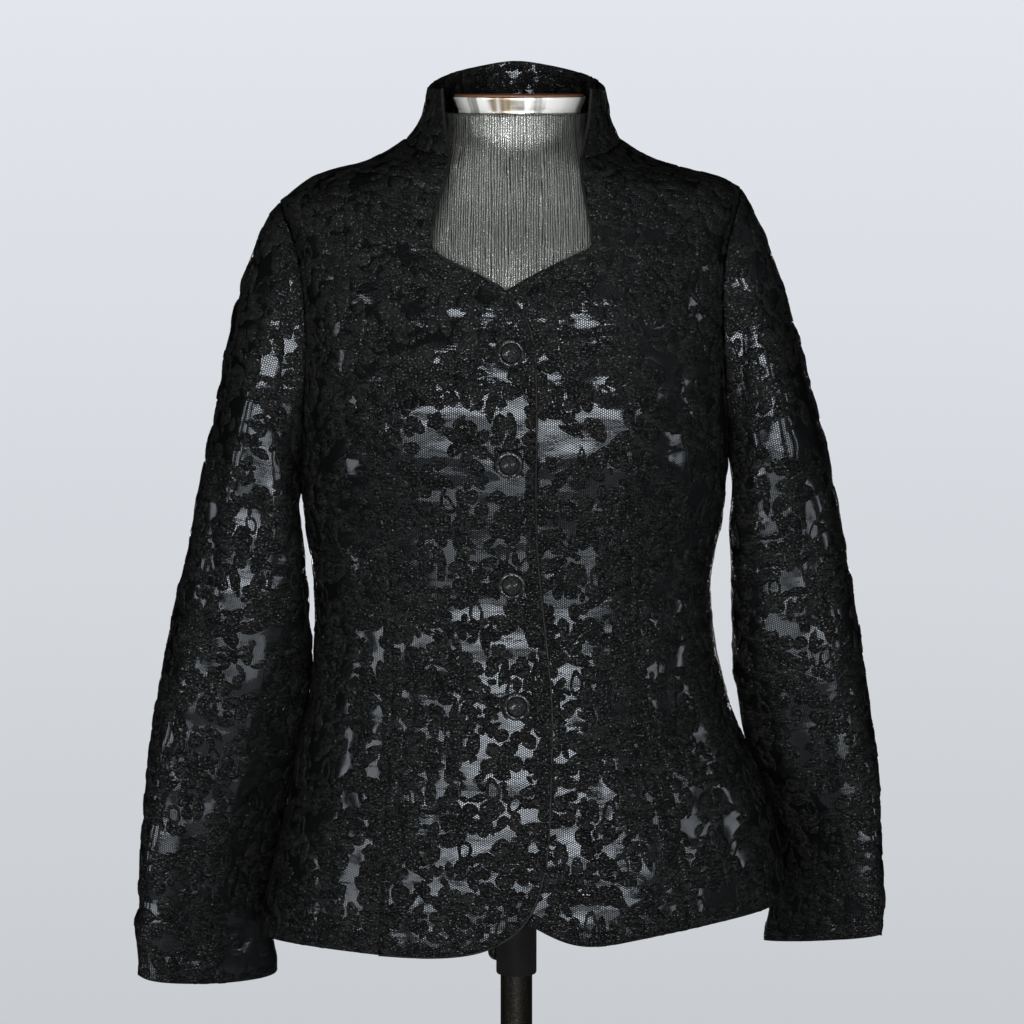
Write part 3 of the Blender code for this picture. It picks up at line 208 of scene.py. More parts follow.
# Turned pieces, as (radius, height) in metres
SHARP_TURN = 40.0              # degrees at which an edge of one stays sharp
RING_X = 2.0 * MM              # the neck's ring and cap stand this far off the pole's axis
NECK_RING = [(0.0, 1.4863), (0.0488, 1.4863), (0.0493, 1.4868), (0.0493, 1.4890), (0.0500, 1.4906),
             (0.0518, 1.4948), (0.0527, 1.4968), (0.0530, 1.4978), (0.0530, 1.4984), (0.0524, 1.4990),
             (0.0, 1.4990)]
NECK_CAP = [(0.0, 1.4993), (0.0509, 1.4993), (0.0515, 1.4998), (0.0515, 1.5003), (0.0508, 1.5008),
            (0.0500, 1.5009), (0.0, 1.5009)]
SOCKET = [(0.0, 0.8647), (0.0238, 0.8647), (0.0245, 0.8640), (0.0245, 0.8594), (0.0238, 0.8582),
          (0.0172, 0.8512), (0.0165, 0.8498), (0.0165, 0.7880), (0.0161, 0.7870), (0.0155, 0.7868),
          (0.0135, 0.7868), (0.0133, 0.7872), (0.0133, 0.8468), (0.0, 0.8468)]
POLE = [(0.0, 0.0153), (0.0126, 0.0153), (0.0130, 0.0157), (0.0130, 0.8461), (0.0126, 0.8465), (0.0, 0.8465)]
BASE = [(0.0, 0.0), (0.1790, 0.0), (0.1800, 0.0010), (0.1800, 0.0070), (0.1792, 0.0086), (0.1755, 0.0116),
        (0.1740, 0.0120), (0.0400, 0.0158), (0.0350, 0.0168), (0.0285, 0.0205), (0.0262, 0.0235),
        (0.0260, 0.0260), (0.0260, 0.0565), (0.0252, 0.0590), (0.0232, 0.0600), (0.0138, 0.0600),
        (0.0133, 0.0596), (0.0133, 0.0150), (0.0, 0.0150)]
KNOB = [(0.0, 0.0), (0.0028, 0.0), (0.0028, 0.0058), (0.0058, 0.0060), (0.0071, 0.0068), (0.0075, 0.0080),
        (0.0075, 0.0122), (0.0070, 0.0139), (0.0056, 0.0149), (0.0030, 0.0150), (0.0, 0.0150)]
KNOB_HEIGHT, KNOB_AZIMUTH, KNOB_START = 0.7990, 215, 0.0168
STAND = table("node profile sides slot", [
    ("neck_ring", NECK_RING, 96, "chrome"), ("neck_cap", NECK_CAP, 96, "cap_wood"),
    ("socket", SOCKET, 64, "black_plastic"), ("pole", POLE, 64, "pole_finish"),
    ("stand_base", BASE, 128, "base_finish"), ("clamp_knob", KNOB, 40, "black_plastic"),
])
BUTTON = [(0.0, 0.0), (0.0098, 0.0), (0.0108, 0.0005), (0.0111, 0.0014), (0.0109, 0.0026), (0.0103, 0.0036),
          (0.0094, 0.0042), (0.0085, 0.0042), (0.0077, 0.0036), (0.0073, 0.0034), (0.0068, 0.0038),
          (0.0060, 0.0046), (0.0044, 0.0054), (0.0022, 0.0059), (0.0, 0.0061)]
BUTTON_RADIUS = 11.1 * MM
BUTTON_SIDES = 56
BUTTON_DISC = 7.4 * MM         # lace covers the button inside this radius
BUTTONS = 4
BUTTON_PUCKER, BUTTON_PUCKERS, PUCKER_START = 0.16 * MM, 14, 2.0 * MM

# Edges that are bound in satin: panel, a point near the stretch, and the roll's radius
BINDINGS = table("panel x y height radius", [
    ("front_right", -0.060, -0.085, 1.385, 1.3 * MM),
    ("front_left", 0.060, -0.085, 1.385, 1.3 * MM),
    ("front_right", 0.026, -0.110, 1.150, 0.9 * MM),
    ("collar", -0.050, -0.062, 1.480, 1.3 * MM),
    ("collar", 0.050, -0.062, 1.480, 1.3 * MM),
])
BINDING_WAVE, BINDING_WAVE_LENGTH, BINDING_SINK = 0.45 * MM, 9.0 * MM, 0.25 * MM
# Seams that the lace crosses: panel and a point near the stretch
CROSSINGS = table("panel x y height", [
    ("side_front_right", -0.100, -0.110, 1.100), ("side_front_left", 0.100, -0.110, 1.100),
    ("side_front_right", -0.140, -0.080, 1.235), ("side_front_left", 0.140, -0.080, 1.235),
    ("side_front_right", -0.150, -0.020, 1.050), ("side_front_left", 0.150, -0.020, 1.050),
])

# Cloth in the materials
NET_CELL, RIB_PITCH = 1.75 * MM, 2.1 * MM
# Between these heights the lace's painted ridge light, crease shade and fold shade grow from a third to full
# strength.
CRINKLED_FROM, CRINKLED_TO = 1.34, 1.22    # heights between which the cloth's fine crinkle comes in

# Camera, light and stage
CAMERA_PLACE, CAMERA_TILT, CAMERA_LENS = (-0.0036, -3.0, 1.54), 7.1, 131.9
# A light's place, what it aims at, its width and height, and its power in watts
LIGHTS = table("name place aim size power", [
    ("key", (-0.10, -3.6, 0.70), (0.0, 0.0, 1.12), (4.2, 0.75), 54.0),
    ("key_upper", (-0.10, -3.6, 1.52), (0.0, 0.0, 1.12), (2.6, 0.88), 74.0),
    ("low", (0.10, -2.6, 0.03), (0.10, -2.6, 1.0), (2.4, 1.6), 34.0),
    ("overhead", (-0.3, -0.9, 3.3), (0.0, 0.0, 1.2), (1.0, 0.7), 8.0),
    ("slit_left", (-2.55, -2.0, 0.92), (0.0, 0.0, 0.92), (0.90, 1.2), 17.0),
    ("slit_right", (2.50, -2.1, 0.92), (0.0, 0.0, 0.92), (0.80, 1.2), 11.0),
    ("side_left", (-2.9, -0.8, 1.05), (0.0, 0.0, 1.0), (0.34, 1.5), 8.0),
    ("side_right", (2.9, -0.5, 1.20), (0.0, 0.0, 1.1), (0.24, 1.5), 6.0),
    ("back_key", (0.10, 3.8, 0.85), (0.0, 0.0, 1.12), (2.4, 1.10), 70.0),
])
FLOOR_RADIUS, FLOOR_SIDES, FLOOR_FADE, FLOOR_EDGE, FLOOR_GLOW = 2.5, 128, 0.9, 2.4, 0.30


# Arithmetic

def smooth_step(low, high, value):
    share = np.clip((value - low) / (high - low), 0.0, 1.0)
    return share * share * (3.0 - 2.0 * share)


def cell_value(cell, seed):
    """A number from -1 to 1 that belongs to a whole-number cell, mixed by large odd numbers."""
    mixed = cell[:, 0] * 73856093 ^ cell[:, 1] * 19349663 ^ cell[:, 2] * 83492791 ^ seed * 2654435
    mixed = (mixed ^ mixed >> 13) * 1274126177
    return ((mixed ^ mixed >> 16) & 0xffff) / 32767.5 - 1.0


def noise(points, seed):
    """Smooth noise from -1 to 1 at an array of points."""
    base = np.floor(points).astype(np.int64)
    share = points - base
    share = share * share * (3.0 - 2.0 * share)
    total = np.zeros(len(points))
    for corner in itertools.product((0, 1), repeat=3):
        weight = np.prod(np.where(corner, share, 1.0 - share), axis=1)
        total += weight * cell_value(base + np.array(corner), seed)
    return total


def cross_2d(first, second):
    return first[:, 0] * second[:, 1] - first[:, 1] * second[:, 0]


# Objects and meshes

def add_object(name, data):
    """A new object in the scene."""
    made = bpy.data.objects.new(name, data)
    bpy.context.scene.collection.objects.link(made)
    return made


def new_object(name, mesh):
    """A smooth-shaded object from a bmesh."""
    data = bpy.data.meshes.new(name)
    mesh.to_mesh(data)
    mesh.free()
    data.shade_smooth()
    return add_object(name, data)


def put_on_body(piece, node=None):
    """Let a piece ride on the one body, in place of a solid where a node is given."""
    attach(piece, "root")
    if node:
        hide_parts(node)


def evaluated_mesh(made):
    """The mesh that an object's modifiers or curve make."""
    return bpy.data.meshes.new_from_object(made.evaluated_get(bpy.context.evaluated_depsgraph_get()))


def apply_modifiers(made):
    """Replace an object's mesh by what its modifiers make of it."""
    data = evaluated_mesh(made)
    made.modifiers.clear()
    made.data = data


def subdivide(made, levels):
    modifier = made.modifiers.new("smooth", "SUBSURF")
    modifier.levels = levels
    modifier.render_levels = levels
    apply_modifiers(made)


def thicken(cloth):
    modifier = cloth.modifiers.new("thickness", "SOLIDIFY")
    modifier.thickness = SHELL
    modifier.offset = -1.0
    modifier.material_offset_rim = 1
    apply_modifiers(cloth)


def welded(node):
    """A solid's surface as a bmesh, with its doubled points joined."""
    mesh = bmesh.new()
    mesh.from_mesh(frame["nodes"][node].data)
    bmesh.ops.remove_doubles(mesh, verts=mesh.verts, dist=WELD)
    return mesh


def join_to_quads(mesh, fold):
    """Join pairs of triangles that are folded by less than some degrees."""
    bmesh.ops.join_triangles(mesh, faces=mesh.faces, angle_face_threshold=math.radians(fold),
                             angle_shape_threshold=math.radians(SKEW), topology_influence=1.0)


def read(items, key, width):
    """A vector of each item, as the rows of an array."""
    values = np.zeros(len(items) * width)
    items.foreach_get(key, values)
    return values.reshape(-1, width)


def vertex_arrays(data):
    """Places and normals of a mesh's points."""
    return read(data.vertices, "co", 3), read(data.vertex_normals, "vector", 3)


def flat_points(data):
    """The point of the flat map at each corner of a mesh's faces."""
    return read(data.uv_layers["cloth"].uv, "vector", 2)


def border_edges(data):
    """The edges of an open mesh's border, as pairs of point numbers."""
    uses = Counter(key for face in data.polygons for key in face.edge_keys)
    return [key for key, count in uses.items() if count == 1]


def border_lines(data):
    """The border of an open mesh as lines of point numbers, cut at its corners."""
    links = {}
    for first, second in border_edges(data):
        links.setdefault(first, []).append(second)
        links.setdefault(second, []).append(first)
    corners = set()
    for index, ends in links.items():
        before, here, after = (data.vertices[number].co for number in (ends[0], index, ends[1]))
        if (here - before).angle(after - here) > math.radians(CORNER_TURN):
            corners.add(index)
    lines = []
    for corner in corners:
        for step in links[corner]:
            line = [corner, step]
            while line[-1] not in corners:
                line.append(next(end for end in links[line[-1]] if end != line[-2]))
            if line[0] < line[-1] or len(corners) < 2:
                lines.append(line)
    return lines


def nearest_border(data, row):
    """The points of a panel's border line that passes nearest to a table row's place."""
    near, verts = Vector((row.x, row.y, row.height)), data.vertices
    line = min(border_lines(data), key=lambda line: min((verts[index].co - near).length for index in line))
    return [verts[index] for index in line]


# Cloth from the solids

def face_islands(mesh):
    """The faces of a mesh, in groups that hang together."""
    left = set(mesh.faces)
    islands = []
    while left:
        stack = [left.pop()]
        island = []
        while stack:
            face = stack.pop()
            island.append(face)
            for edge in face.edges:
                for near in edge.link_faces:
                    if near in left:
                        left.remove(near)
                        stack.append(near)
        islands.append(island)
    return islands


def faces_out(island, tube):
    """How much a group of faces looks away from the panel's own core."""
    points = [vert.co for face in island for vert in face.verts]
    middle = sum(points, Vector()) / len(points)
    total = 0.0
    for face in island:
        centre = face.calc_center_median()
        core = middle if tube else Vector((0.0, 0.0, min(centre.z, CORE_TOP)))
        total += face.calc_area() * face.normal.dot(centre - core)
    return total


def outer_face(panel):
    """The outer side of a cloth wall, welded and with its triangles joined to quads."""
    mesh = welded(panel.node)
    rim = {face for edge in mesh.edges if edge.calc_length() < RIM_EDGE for face in edge.link_faces}
    bmesh.ops.delete(mesh, geom=list(rim), context="FACES")
    inner = min(face_islands(mesh), key=lambda island: faces_out(island, panel.tube))
    bmesh.ops.delete(mesh, geom=inner, context="FACES")
    join_to_quads(mesh, CLOTH_FOLD)
    return mesh


def mark_corners(mesh):
    """Keep the corners of a panel sharp when it is subdivided."""
    crease = mesh.verts.layers.float.new("crease_vert")
    for vert in mesh.verts:
        border = [edge.other_vert(vert).co for edge in vert.link_edges if edge.is_boundary]
        if len(border) == 2:
            turn = (vert.co - border[0]).angle(border[1] - vert.co)
            vert[crease] = 1.0 if turn > math.radians(CORNER_TURN) else 0.0


def mark_tube_seam(mesh):
    """Mark one line of edges up a sleeve, on the side towards the body, where its flat cut opens."""
    border = [vert for vert in mesh.verts if vert.is_boundary]
    lowest = min(vert.co.z for vert in border)
    cuff = [vert for vert in border if vert.co.z < lowest + CUFF_BAND]
    vert = min(cuff, key=lambda end: abs(end.co.x) - BACKWARD * end.co.y)
    came = None
    while True:
        ways = [edge for edge in vert.link_edges if not edge.is_boundary and edge is not came]
        if not ways or (came and vert.is_boundary):
            return
        came = max(ways, key=lambda edge: (edge.other_vert(vert).co - vert.co).normalized().z)
        came.seam = True
        vert = came.other_vert(vert)


def unwrap(cloth):
    """Open the cloth out flat as its own tool in Blender does, at no set scale or turn."""
    bpy.context.view_layer.objects.active = cloth
    cloth.select_set(True)
    bpy.ops.object.mode_set(mode="EDIT")
    bpy.ops.mesh.select_all(action="SELECT")
    bpy.ops.uv.unwrap(method="ANGLE_BASED", margin=0.0)
    bpy.ops.object.mode_set(mode="OBJECT")
    cloth.select_set(False)
    cloth.data.uv_layers.active.name = "cloth"


def lay_flat(cloth):
    """Give the cloth a map in metres of its flat cut, with up as up."""
    unwrap(cloth)
    data = cloth.data
    data.calc_loop_triangles()
    corners = np.array([tri.loops for tri in data.loop_triangles])
    places = read(data.vertices, "co", 3)[[loop.vertex_index for loop in data.loops]]
    flat = flat_points(data)
    side, other_side = (places[corners[:, k]] - places[corners[:, 0]] for k in (1, 2))
    flat_side, other_flat = (flat[corners[:, k]] - flat[corners[:, 0]] for k in (1, 2))
    area = np.linalg.norm(np.cross(side, other_side), axis=1)
    flat_area = cross_2d(flat_side, other_flat)
    uphill = np.stack([side[:, 2] * other_flat[:, 1] - other_side[:, 2] * flat_side[:, 1],
                       other_side[:, 2] * flat_side[:, 0] - side[:, 2] * other_flat[:, 0]], axis=1)
    up = (uphill * np.sign(flat_area)[:, None]).sum(axis=0)
    up /= np.linalg.norm(up)
    scale = math.sqrt(area.sum() / np.abs(flat_area).sum())
    turned_flat = np.stack([flat @ np.array([up[1], -up[0]]), flat @ up], axis=1) * scale
    turned_flat[:, 0] -= turned_flat[:, 0].mean()
    turned_flat[:, 1] += places[:, 2].mean() - turned_flat[:, 1].mean()
    data.uv_layers["cloth"].uv.foreach_set("vector", turned_flat.ravel())


def others_tree(node):
    """The surfaces of all the other solids, for measuring the room above a panel."""
    places, faces = [], []
    for name, solid in frame["nodes"].items():
        if name == node:
            continue
        start = len(places)
        places.extend(vert.co.copy() for vert in solid.data.vertices)
        faces.extend([start + index for index in face.vertices] for face in solid.data.polygons)
    return BVHTree.FromPolygons(places, faces)


def room_above(node, places, normals):
    """How far each point could move out before it met another piece."""
    tree = others_tree(node)
    room = np.full(len(places), MOST_ROOM)
    for index, (place, normal) in enumerate(zip(places, normals)):
        hit = tree.ray_cast(place, normal, MOST_ROOM)
        if hit[0] is not None:
            room[index] = hit[3]
    return room


def border_distance(data, places):
    """Each point's distance from the nearest edge of its panel."""
    border = sorted({index for pair in border_edges(data) for index in pair})
    tree = KDTree(len(border))
    for index in border:
        tree.insert(places[index], index)
    tree.balance()
    return np.array([tree.find(place)[2] for place in places])


def crease_height(crease, places, normals):
    """How far one crease moves each point out."""
    axis, facing = VIEWS[crease.view]
    weight = smooth_step(TURNED_AWAY, TURNED_TO, normals[:, 0] * facing[0] + normals[:, 1] * facing[1])
    across, up = places[:, axis] - crease.across * MM, places[:, 2] - crease.height * MM
    run, rise = (crease.end_across - crease.across) * MM, (crease.end_height - crease.height) * MM
    along = np.clip((across * run + up * rise) / math.hypot(run, rise) ** 2, 0.0, 1.0)
    away = np.hypot(across - along * run, up - along * rise) / (crease.width * MM)
    left = CREASE_END + (1.0 - CREASE_END) * (1.0 - along)
    return crease.depth * MM * weight * np.exp(-away ** 2) * left


def wrinkle(cloth, node):
    """Move the cloth's points by its crinkles and creases, clear of the other pieces."""
    places, normals = vertex_arrays(cloth.data)
    height = np.zeros(len(places))
    for crinkle in CRINKLES:
        scaled = places / (np.array([crinkle.across, crinkle.across, crinkle.up]) * MM)
        height += crinkle.height * MM * noise(scaled, crinkle.seed)
    for crease in CREASES:
        height += crease_height(crease, places, normals)
    room = room_above(node, places, normals)
    edge = border_distance(cloth.data, places)
    height = (height + FULLNESS) * smooth_step(0.0, EDGE_FADE, edge)
    height -= SEAM_TUCK * np.exp(-(edge / SEAM_TUCK_WIDTH) ** 2)
    height = np.clip(height, -DEEPEST, room * ROOM_SHARE)
    places += normals * height[:, None]
    cloth.data.vertices.foreach_set("co", places.ravel())
    cloth.data.update()
    return room


# The flat map that carries the lace onto the cloth

class FlatMap:
    """Finds the place on the draped cloth for a point of its flat cut."""

    def __init__(self, cloth, room, inward=0.0):
        data = cloth.data
        data.calc_loop_triangles()
        self.corners = np.array([tri.loops for tri in data.loop_triangles])
        self.verts = np.array([tri.vertices for tri in data.loop_triangles])
        self.flat = flat_points(data)
        self.places, self.normals = vertex_arrays(data)
        if inward:
            self.places -= self.normals * inward
            self.normals = -self.normals
        self.room = room
        points = [(u, v, 0.0) for u, v in self.flat]
        self.tree = BVHTree.FromPolygons(points, self.corners.tolist(), all_triangles=True)

    def edges(self):
        """The edges of the flat cut, each as its two ends and a point of the cloth beside it."""
        ends = {}
        for a, b, c in self.flat[self.corners]:
            for start, end, inner in ((a, b, c), (b, c, a), (c, a, b)):
                key = tuple(sorted([tuple(start.round(6)), tuple(end.round(6))]))
                ends.setdefault(key, []).append((start, end, inner))
        return [rows[0] for rows in ends.values() if len(rows) == 1]

    def inside(self, u, v):
        """True where a point lies on the cloth."""
        return self.tree.find_nearest((u, v, 0.0))[3] < ON_CLOTH

    def lift(self, points, heights):
        """Places in space for flat points at heights above the cloth."""
        found = [self.tree.find_nearest((u, v, 0.0)) for u, v in points]
        near = np.array([hit[0][:2] for hit in found])
        which = np.array([hit[2] for hit in found])
        a, b, c = (self.flat[self.corners[which, k]] for k in range(3))
        whole = cross_2d(b - a, c - a)
        share_b, share_c = cross_2d(near - a, c - a) / whole, cross_2d(b - a, near - a) / whole
        shares = np.stack([1.0 - share_b - share_c, share_b, share_c], axis=1)[:, :, None]
        verts = self.verts[which]
        place = (self.places[verts] * shares).sum(axis=1)
        normal = (self.normals[verts] * shares).sum(axis=1)
        normal /= np.linalg.norm(normal, axis=1)[:, None]
        room = (self.room[verts] * shares[:, :, 0]).sum(axis=1)
        low = np.clip(room / LIFT_ROOM, LEAST_LIFT, 1.0)
        return place + normal * (heights * low)[:, None]


# The lace's motifs, each as points (along, across, height, share of the way out) and faces, with a
# length and width of one

def circle(count):
    """Points round a circle of radius one."""
    turns = [2.0 * math.pi * k / count for k in range(count)]
    return [(math.cos(turn), math.sin(turn)) for turn in turns]


def ring_faces(rings, count):
    """Quads from each closed ring of points to the next."""
    faces = []
    for start in range(0, (rings - 1) * count, count):
        for k in range(count):
            after = (k + 1) % count
            faces.append((start + k, start + after, start + count + after, start + count + k))
    return faces


def domed(outline):
    """A raised shape inside an outline, highest at its middle."""
    count = len(outline)
    rings = [(1.0, RIM_SINK), (0.86, RIM_HEIGHT)]    # each one's size, and its height
    points = [(x * scale, y * scale, height, scale) for scale, height in rings for x, y in outline]
    points.append((0.0, 0.0, RIM_HEIGHT + CENTRE_RISE, 0.0))
    faces = ring_faces(len(rings), count)
    faces.extend((count + k, count + (k + 1) % count, 2 * count) for k in range(count))
    return np.array(points), faces


def petal(count, narrow):
    """A domed shape that narrows to its root."""
    outline = [(0.5 * x, 0.5 * y * (1.0 - narrow * (0.5 - 0.5 * x))) for x, y in circle(count)]
    return domed(outline)


def leaf(count):
    """A domed shape that is pointed at both ends."""
    return domed([(0.5 * x, math.copysign(0.5 * abs(y) ** 1.5, y)) for x, y in circle(count)])


def hollow_ring(count):
    """A flat-topped oval ring, as wide outside as one."""
    rings = [(1.0, RIM_SINK), (0.93, RIM_HEIGHT), (0.62, RIM_HEIGHT), (0.55, RIM_SINK)]
    points = [(0.5 * x * scale, 0.5 * y * scale, height, RING_SHARE)
              for scale, height in rings for x, y in circle(count)]
    return np.array(points), ring_faces(len(rings), count)


SHAPES = {"petal": petal(12, 0.55), "drop": petal(10, 0.50), "lobe": petal(10, 0.15), "leaf": leaf(12),
          "ring": hollow_ring(12)}

# One placed shape of the repeat, in millimetres and degrees
Shape = namedtuple("Shape", "kind u v length width angle layer")


def flower_shapes(flower):
    """Petals round a small centre, each over or under the next."""
    shapes = []
    style, size = flower.petals, flower.size
    for k in range(style.count):
        angle = flower.turn + 360.0 * k / style.count
        u = flower.u + style.reach * size * math.cos(math.radians(angle))
        v = flower.v + style.reach * size * math.sin(math.radians(angle))
        shapes.append(Shape(style.kind, u, v, style.length * size, style.width * size, angle, k % 3))
    shapes.append(Shape("lobe", flower.u, flower.v, style.centre * size, style.centre * size, 0, 3))
    return shapes


def covered_cells(shape):
    """The millimetre cells of the repeat that a shape covers, across the repeat's edges too."""
    turn = math.radians(shape.angle)
    grid_u, grid_v = np.meshgrid(np.arange(REPEAT_WIDTH) + 0.5, np.arange(REPEAT_LENGTH) + 0.5)
    du = (grid_u - shape.u + REPEAT_WIDTH / 2) % REPEAT_WIDTH - REPEAT_WIDTH / 2
    dv = (grid_v - shape.v + REPEAT_LENGTH / 2) % REPEAT_LENGTH - REPEAT_LENGTH / 2
    along = du * math.cos(turn) + dv * math.sin(turn)
    across = dv * math.cos(turn) - du * math.sin(turn)
    return (2.0 * along / shape.length) ** 2 + (2.0 * across / shape.width) ** 2 < 1.0


def repeat_shapes():
    """All the shapes of one repeat: the charted motifs, and round lobes that fill up to the gaps."""
    shapes = [shape for flower in FLOWERS for shape in flower_shapes(flower)]
    shapes.extend(Shape("leaf", *row, k % 2) for k, row in enumerate(LEAVES))
    rings = [Shape("ring", *row, 0) for row in RINGS]
    shapes.extend(rings)
    holes = [Shape("gap", gap.u, gap.v, gap.across, gap.across, 0, 0) for gap in GAPS]
    covered = np.any([covered_cells(shape) for shape in shapes], axis=0)
    kept = np.any([covered_cells(shape) for shape in holes + rings], axis=0)
    chance = np.random.default_rng(REPEAT_SEED)
    for filler in FILLERS:
        for k in range(filler.tries):
            free = np.argwhere(~covered & ~kept)
            v, u = free[chance.integers(len(free))]
            length, width = chance.uniform(*filler.lengths), chance.uniform(*filler.widths)
            kind = "drop" if k % 3 == 0 else "lobe"
            lobe = Shape(kind, float(u), float(v), length, width, chance.uniform(0, 360), k % 3)
            cells = covered_cells(lobe)
            clear_of_shapes = (covered & cells).sum() < filler.overlap * cells.sum()
            if clear_of_shapes and (kept & cells).sum() < filler.on_gap * cells.sum():
                covered |= cells
                shapes.append(lobe)
    return shapes


class Lace:
    """Collects raised shapes into one mesh. Each shape is a little uneven, as embroidery is."""

    def __init__(self, seed):
        self.chance = np.random.default_rng(seed)
        self.points, self.heights, self.thread, self.rims, self.faces = [], [], [], [], []

    def add(self, shape, u, v):
        """Add a shape at a flat place in metres."""
        outline, sides = SHAPES[shape.kind]
        turn = math.radians(shape.angle + self.chance.uniform(-UNEVEN_TURN, UNEVEN_TURN))
        length, width = np.array([shape.length, shape.width]) * self.chance.uniform(*UNEVEN_SIZE, 2) * MM
        bearing = np.arctan2(outline[:, 1], outline[:, 0])
        wobble = 1.0
        for waves, height in UNEVEN_WAVES:
            wobble = wobble + height * np.sin(waves * bearing + self.chance.uniform(0.0, 2.0 * math.pi))
        along, across = outline[:, 0] * length * wobble, outline[:, 1] * width * wobble
        start = len(self.points)
        self.points.extend(zip(u + along * math.cos(turn) - across * math.sin(turn),
                               v + along * math.sin(turn) + across * math.cos(turn)))
        self.heights.extend(outline[:, 2] + shape.layer * LAYER_HEIGHT)
        self.thread.extend(zip(along + THREAD_SHIFT * start, across))
        tone = self.chance.uniform()
        self.rims.extend((share, tone) for share in outline[:, 3])
        self.faces.extend(tuple(start + k for k in side) for side in sides)

    def piece(self, name, places, flat):
        """The mesh object, with its points at given places in space."""
        data = bpy.data.meshes.new(name)
        data.from_pydata(places.tolist(), [], self.faces)
        data.shade_smooth()
        corner = np.zeros(len(data.loops), int)
        data.loops.foreach_get("vertex_index", corner)
        for layer_name, values in (("cloth", flat), ("thread", self.thread), ("rim", self.rims)):
            layer = data.uv_layers.new(name=layer_name)
            layer.uv.foreach_set("vector", np.array(values)[corner].ravel())
        return add_object(name, data)


def in_opening(u, v):
    """True where the lace is left open at a flat place."""
    value = noise(np.array([[u / OPENING_ACROSS, v / OPENING_UP, 0.5]]), OPENING_SEED)[0]
    return value > (BUST_LIMIT if BUST_LOW < v < BUST_HIGH else OTHER_LIMIT)


def lace_over(name, flat_map, shapes, offset):
    """The raised lace of one panel, as one mesh."""
    lace = Lace(LACE_SEED)
    low, high = flat_map.flat.min(axis=0), flat_map.flat.max(axis=0)
    across, up = REPEAT_WIDTH * MM, REPEAT_LENGTH * MM
    for column in range(int(low[0] / across) - 2, int(high[0] / across) + 3):
        for row in range(int(low[1] / up) - 2, int(high[1] / up) + 3):
            for shape in shapes:
                u = column * across + shape.u * MM + offset[0]
                v = (row + (column % 2) / 2) * up + shape.v * MM + offset[1]
                if (low[0] < u < high[0] and low[1] < v < high[1] and not in_opening(u, v)
                        and flat_map.inside(u, v)):
                    lace.add(shape, u, v)
    add_edge_shapes(lace, flat_map)
    return lace.piece(name, flat_map.lift(lace.points, np.array(lace.heights)), lace.points)


def add_edge_shapes(lace, flat_map):
    """Shapes side by side along the edges of the flat cut, so that the lace is dense there."""
    edges = flat_map.edges()
    placed = np.zeros((0, 2))
    for index in lace.chance.permutation(len(edges)):
        start, end, inner = edges[index]
        middle, way = (start + end) / 2.0, (end - start) / np.linalg.norm(end - start)
        inward = np.array([-way[1], way[0]])
        inward = inward if (inner - middle) @ inward > 0.0 else -inward
        length, width = lace.chance.uniform(*EDGE_LENGTHS), lace.chance.uniform(*EDGE_WIDTHS)
        place = middle + inward * EDGE_INSET * width * MM
        if len(placed) and np.linalg.norm(placed - place, axis=1).min() < EDGE_STEP:
            continue
        placed = np.vstack([placed, place])
        angle = math.degrees(math.atan2(way[1], way[0]))
        lace.add(Shape("lobe", 0, 0, length, width, angle, len(placed) % 3), *place)


def crossing_lace(row, cloth, number):
    """Lace shapes centred on a seam that the lace crosses, so that it runs on over it."""
    verts = nearest_border(cloth.data, row)
    lace = Lace(SEAM_SEED + number)
    anchors = []
    gone, before = CROSSING_STEP, verts[0].co
    for vert, after in zip(verts[1:-1], verts[2:]):
        gone += (vert.co - before).length
        before = vert.co
        if gone < CROSSING_STEP:
            continue
        gone = lace.chance.uniform(-CROSSING_SHIFT, CROSSING_SHIFT) * CROSSING_STEP
        length, width = lace.chance.uniform(*CROSSING_LENGTHS), lace.chance.uniform(*CROSSING_WIDTHS)
        shape = Shape("lobe", 0, 0, length, width, lace.chance.uniform(0, 180), len(anchors) % 3)
        count = len(lace.points)
        lace.add(shape, 0.0, 0.0)
        anchors.extend([(vert, (after.co - vert.co).normalized())] * (len(lace.points) - count))
    places = []
    for (vert, way), (u, v), height in zip(anchors, lace.points, lace.heights):
        side = vert.normal.cross(way)
        places.append(vert.co + way * u + side * v + vert.normal * (height - CROSSING_SAG * (v / MM) ** 2))
    return lace.piece("seam_lace_%d" % number, np.array(places), [(place.x, place.z) for place in places])


# Turned pieces and trims

def turned(name, profile, sides, material):
    """A piece turned round the Z axis from (radius, height) points that start and end on it."""
    mesh = bmesh.new()
    flat = mesh.loops.layers.uv.new("cloth")
    length = [0.0]
    for (radius, height), (next_radius, next_height) in zip(profile, profile[1:]):
        length.append(length[-1] + math.hypot(next_radius - radius, next_height - height))
    rings = []
    for radius, height in profile:
        outline = circle(sides) if radius else [(0.0, 0.0)]
        rings.append([mesh.verts.new((radius * x, radius * y, height)) for x, y in outline])
    widest = max(radius for radius, height in profile)
    for i, j in itertools.product(range(len(profile) - 1), range(sides)):
        chosen = {}
        for row, k in ((i, j), (i, j + 1), (i + 1, j + 1), (i + 1, j)):
            point = rings[row][k % len(rings[row])]
            chosen.setdefault(point, (2.0 * math.pi * widest * k / sides, length[row]))
        face = mesh.faces.new(list(chosen))
        for loop in face.loops:
            loop[flat].uv = chosen[loop.vert]
    bmesh.ops.recalc_face_normals(mesh, faces=mesh.faces)
    piece = new_object(name, mesh)
    piece.data.set_sharp_from_angle(angle=math.radians(SHARP_TURN))
    piece.data.materials.append(material)
    return piece


def aim(piece, axis):
    """Turn a piece so that its own Z axis points along another one."""
    piece.rotation_mode = "QUATERNION"
    piece.rotation_quaternion = UP.rotation_difference(axis)


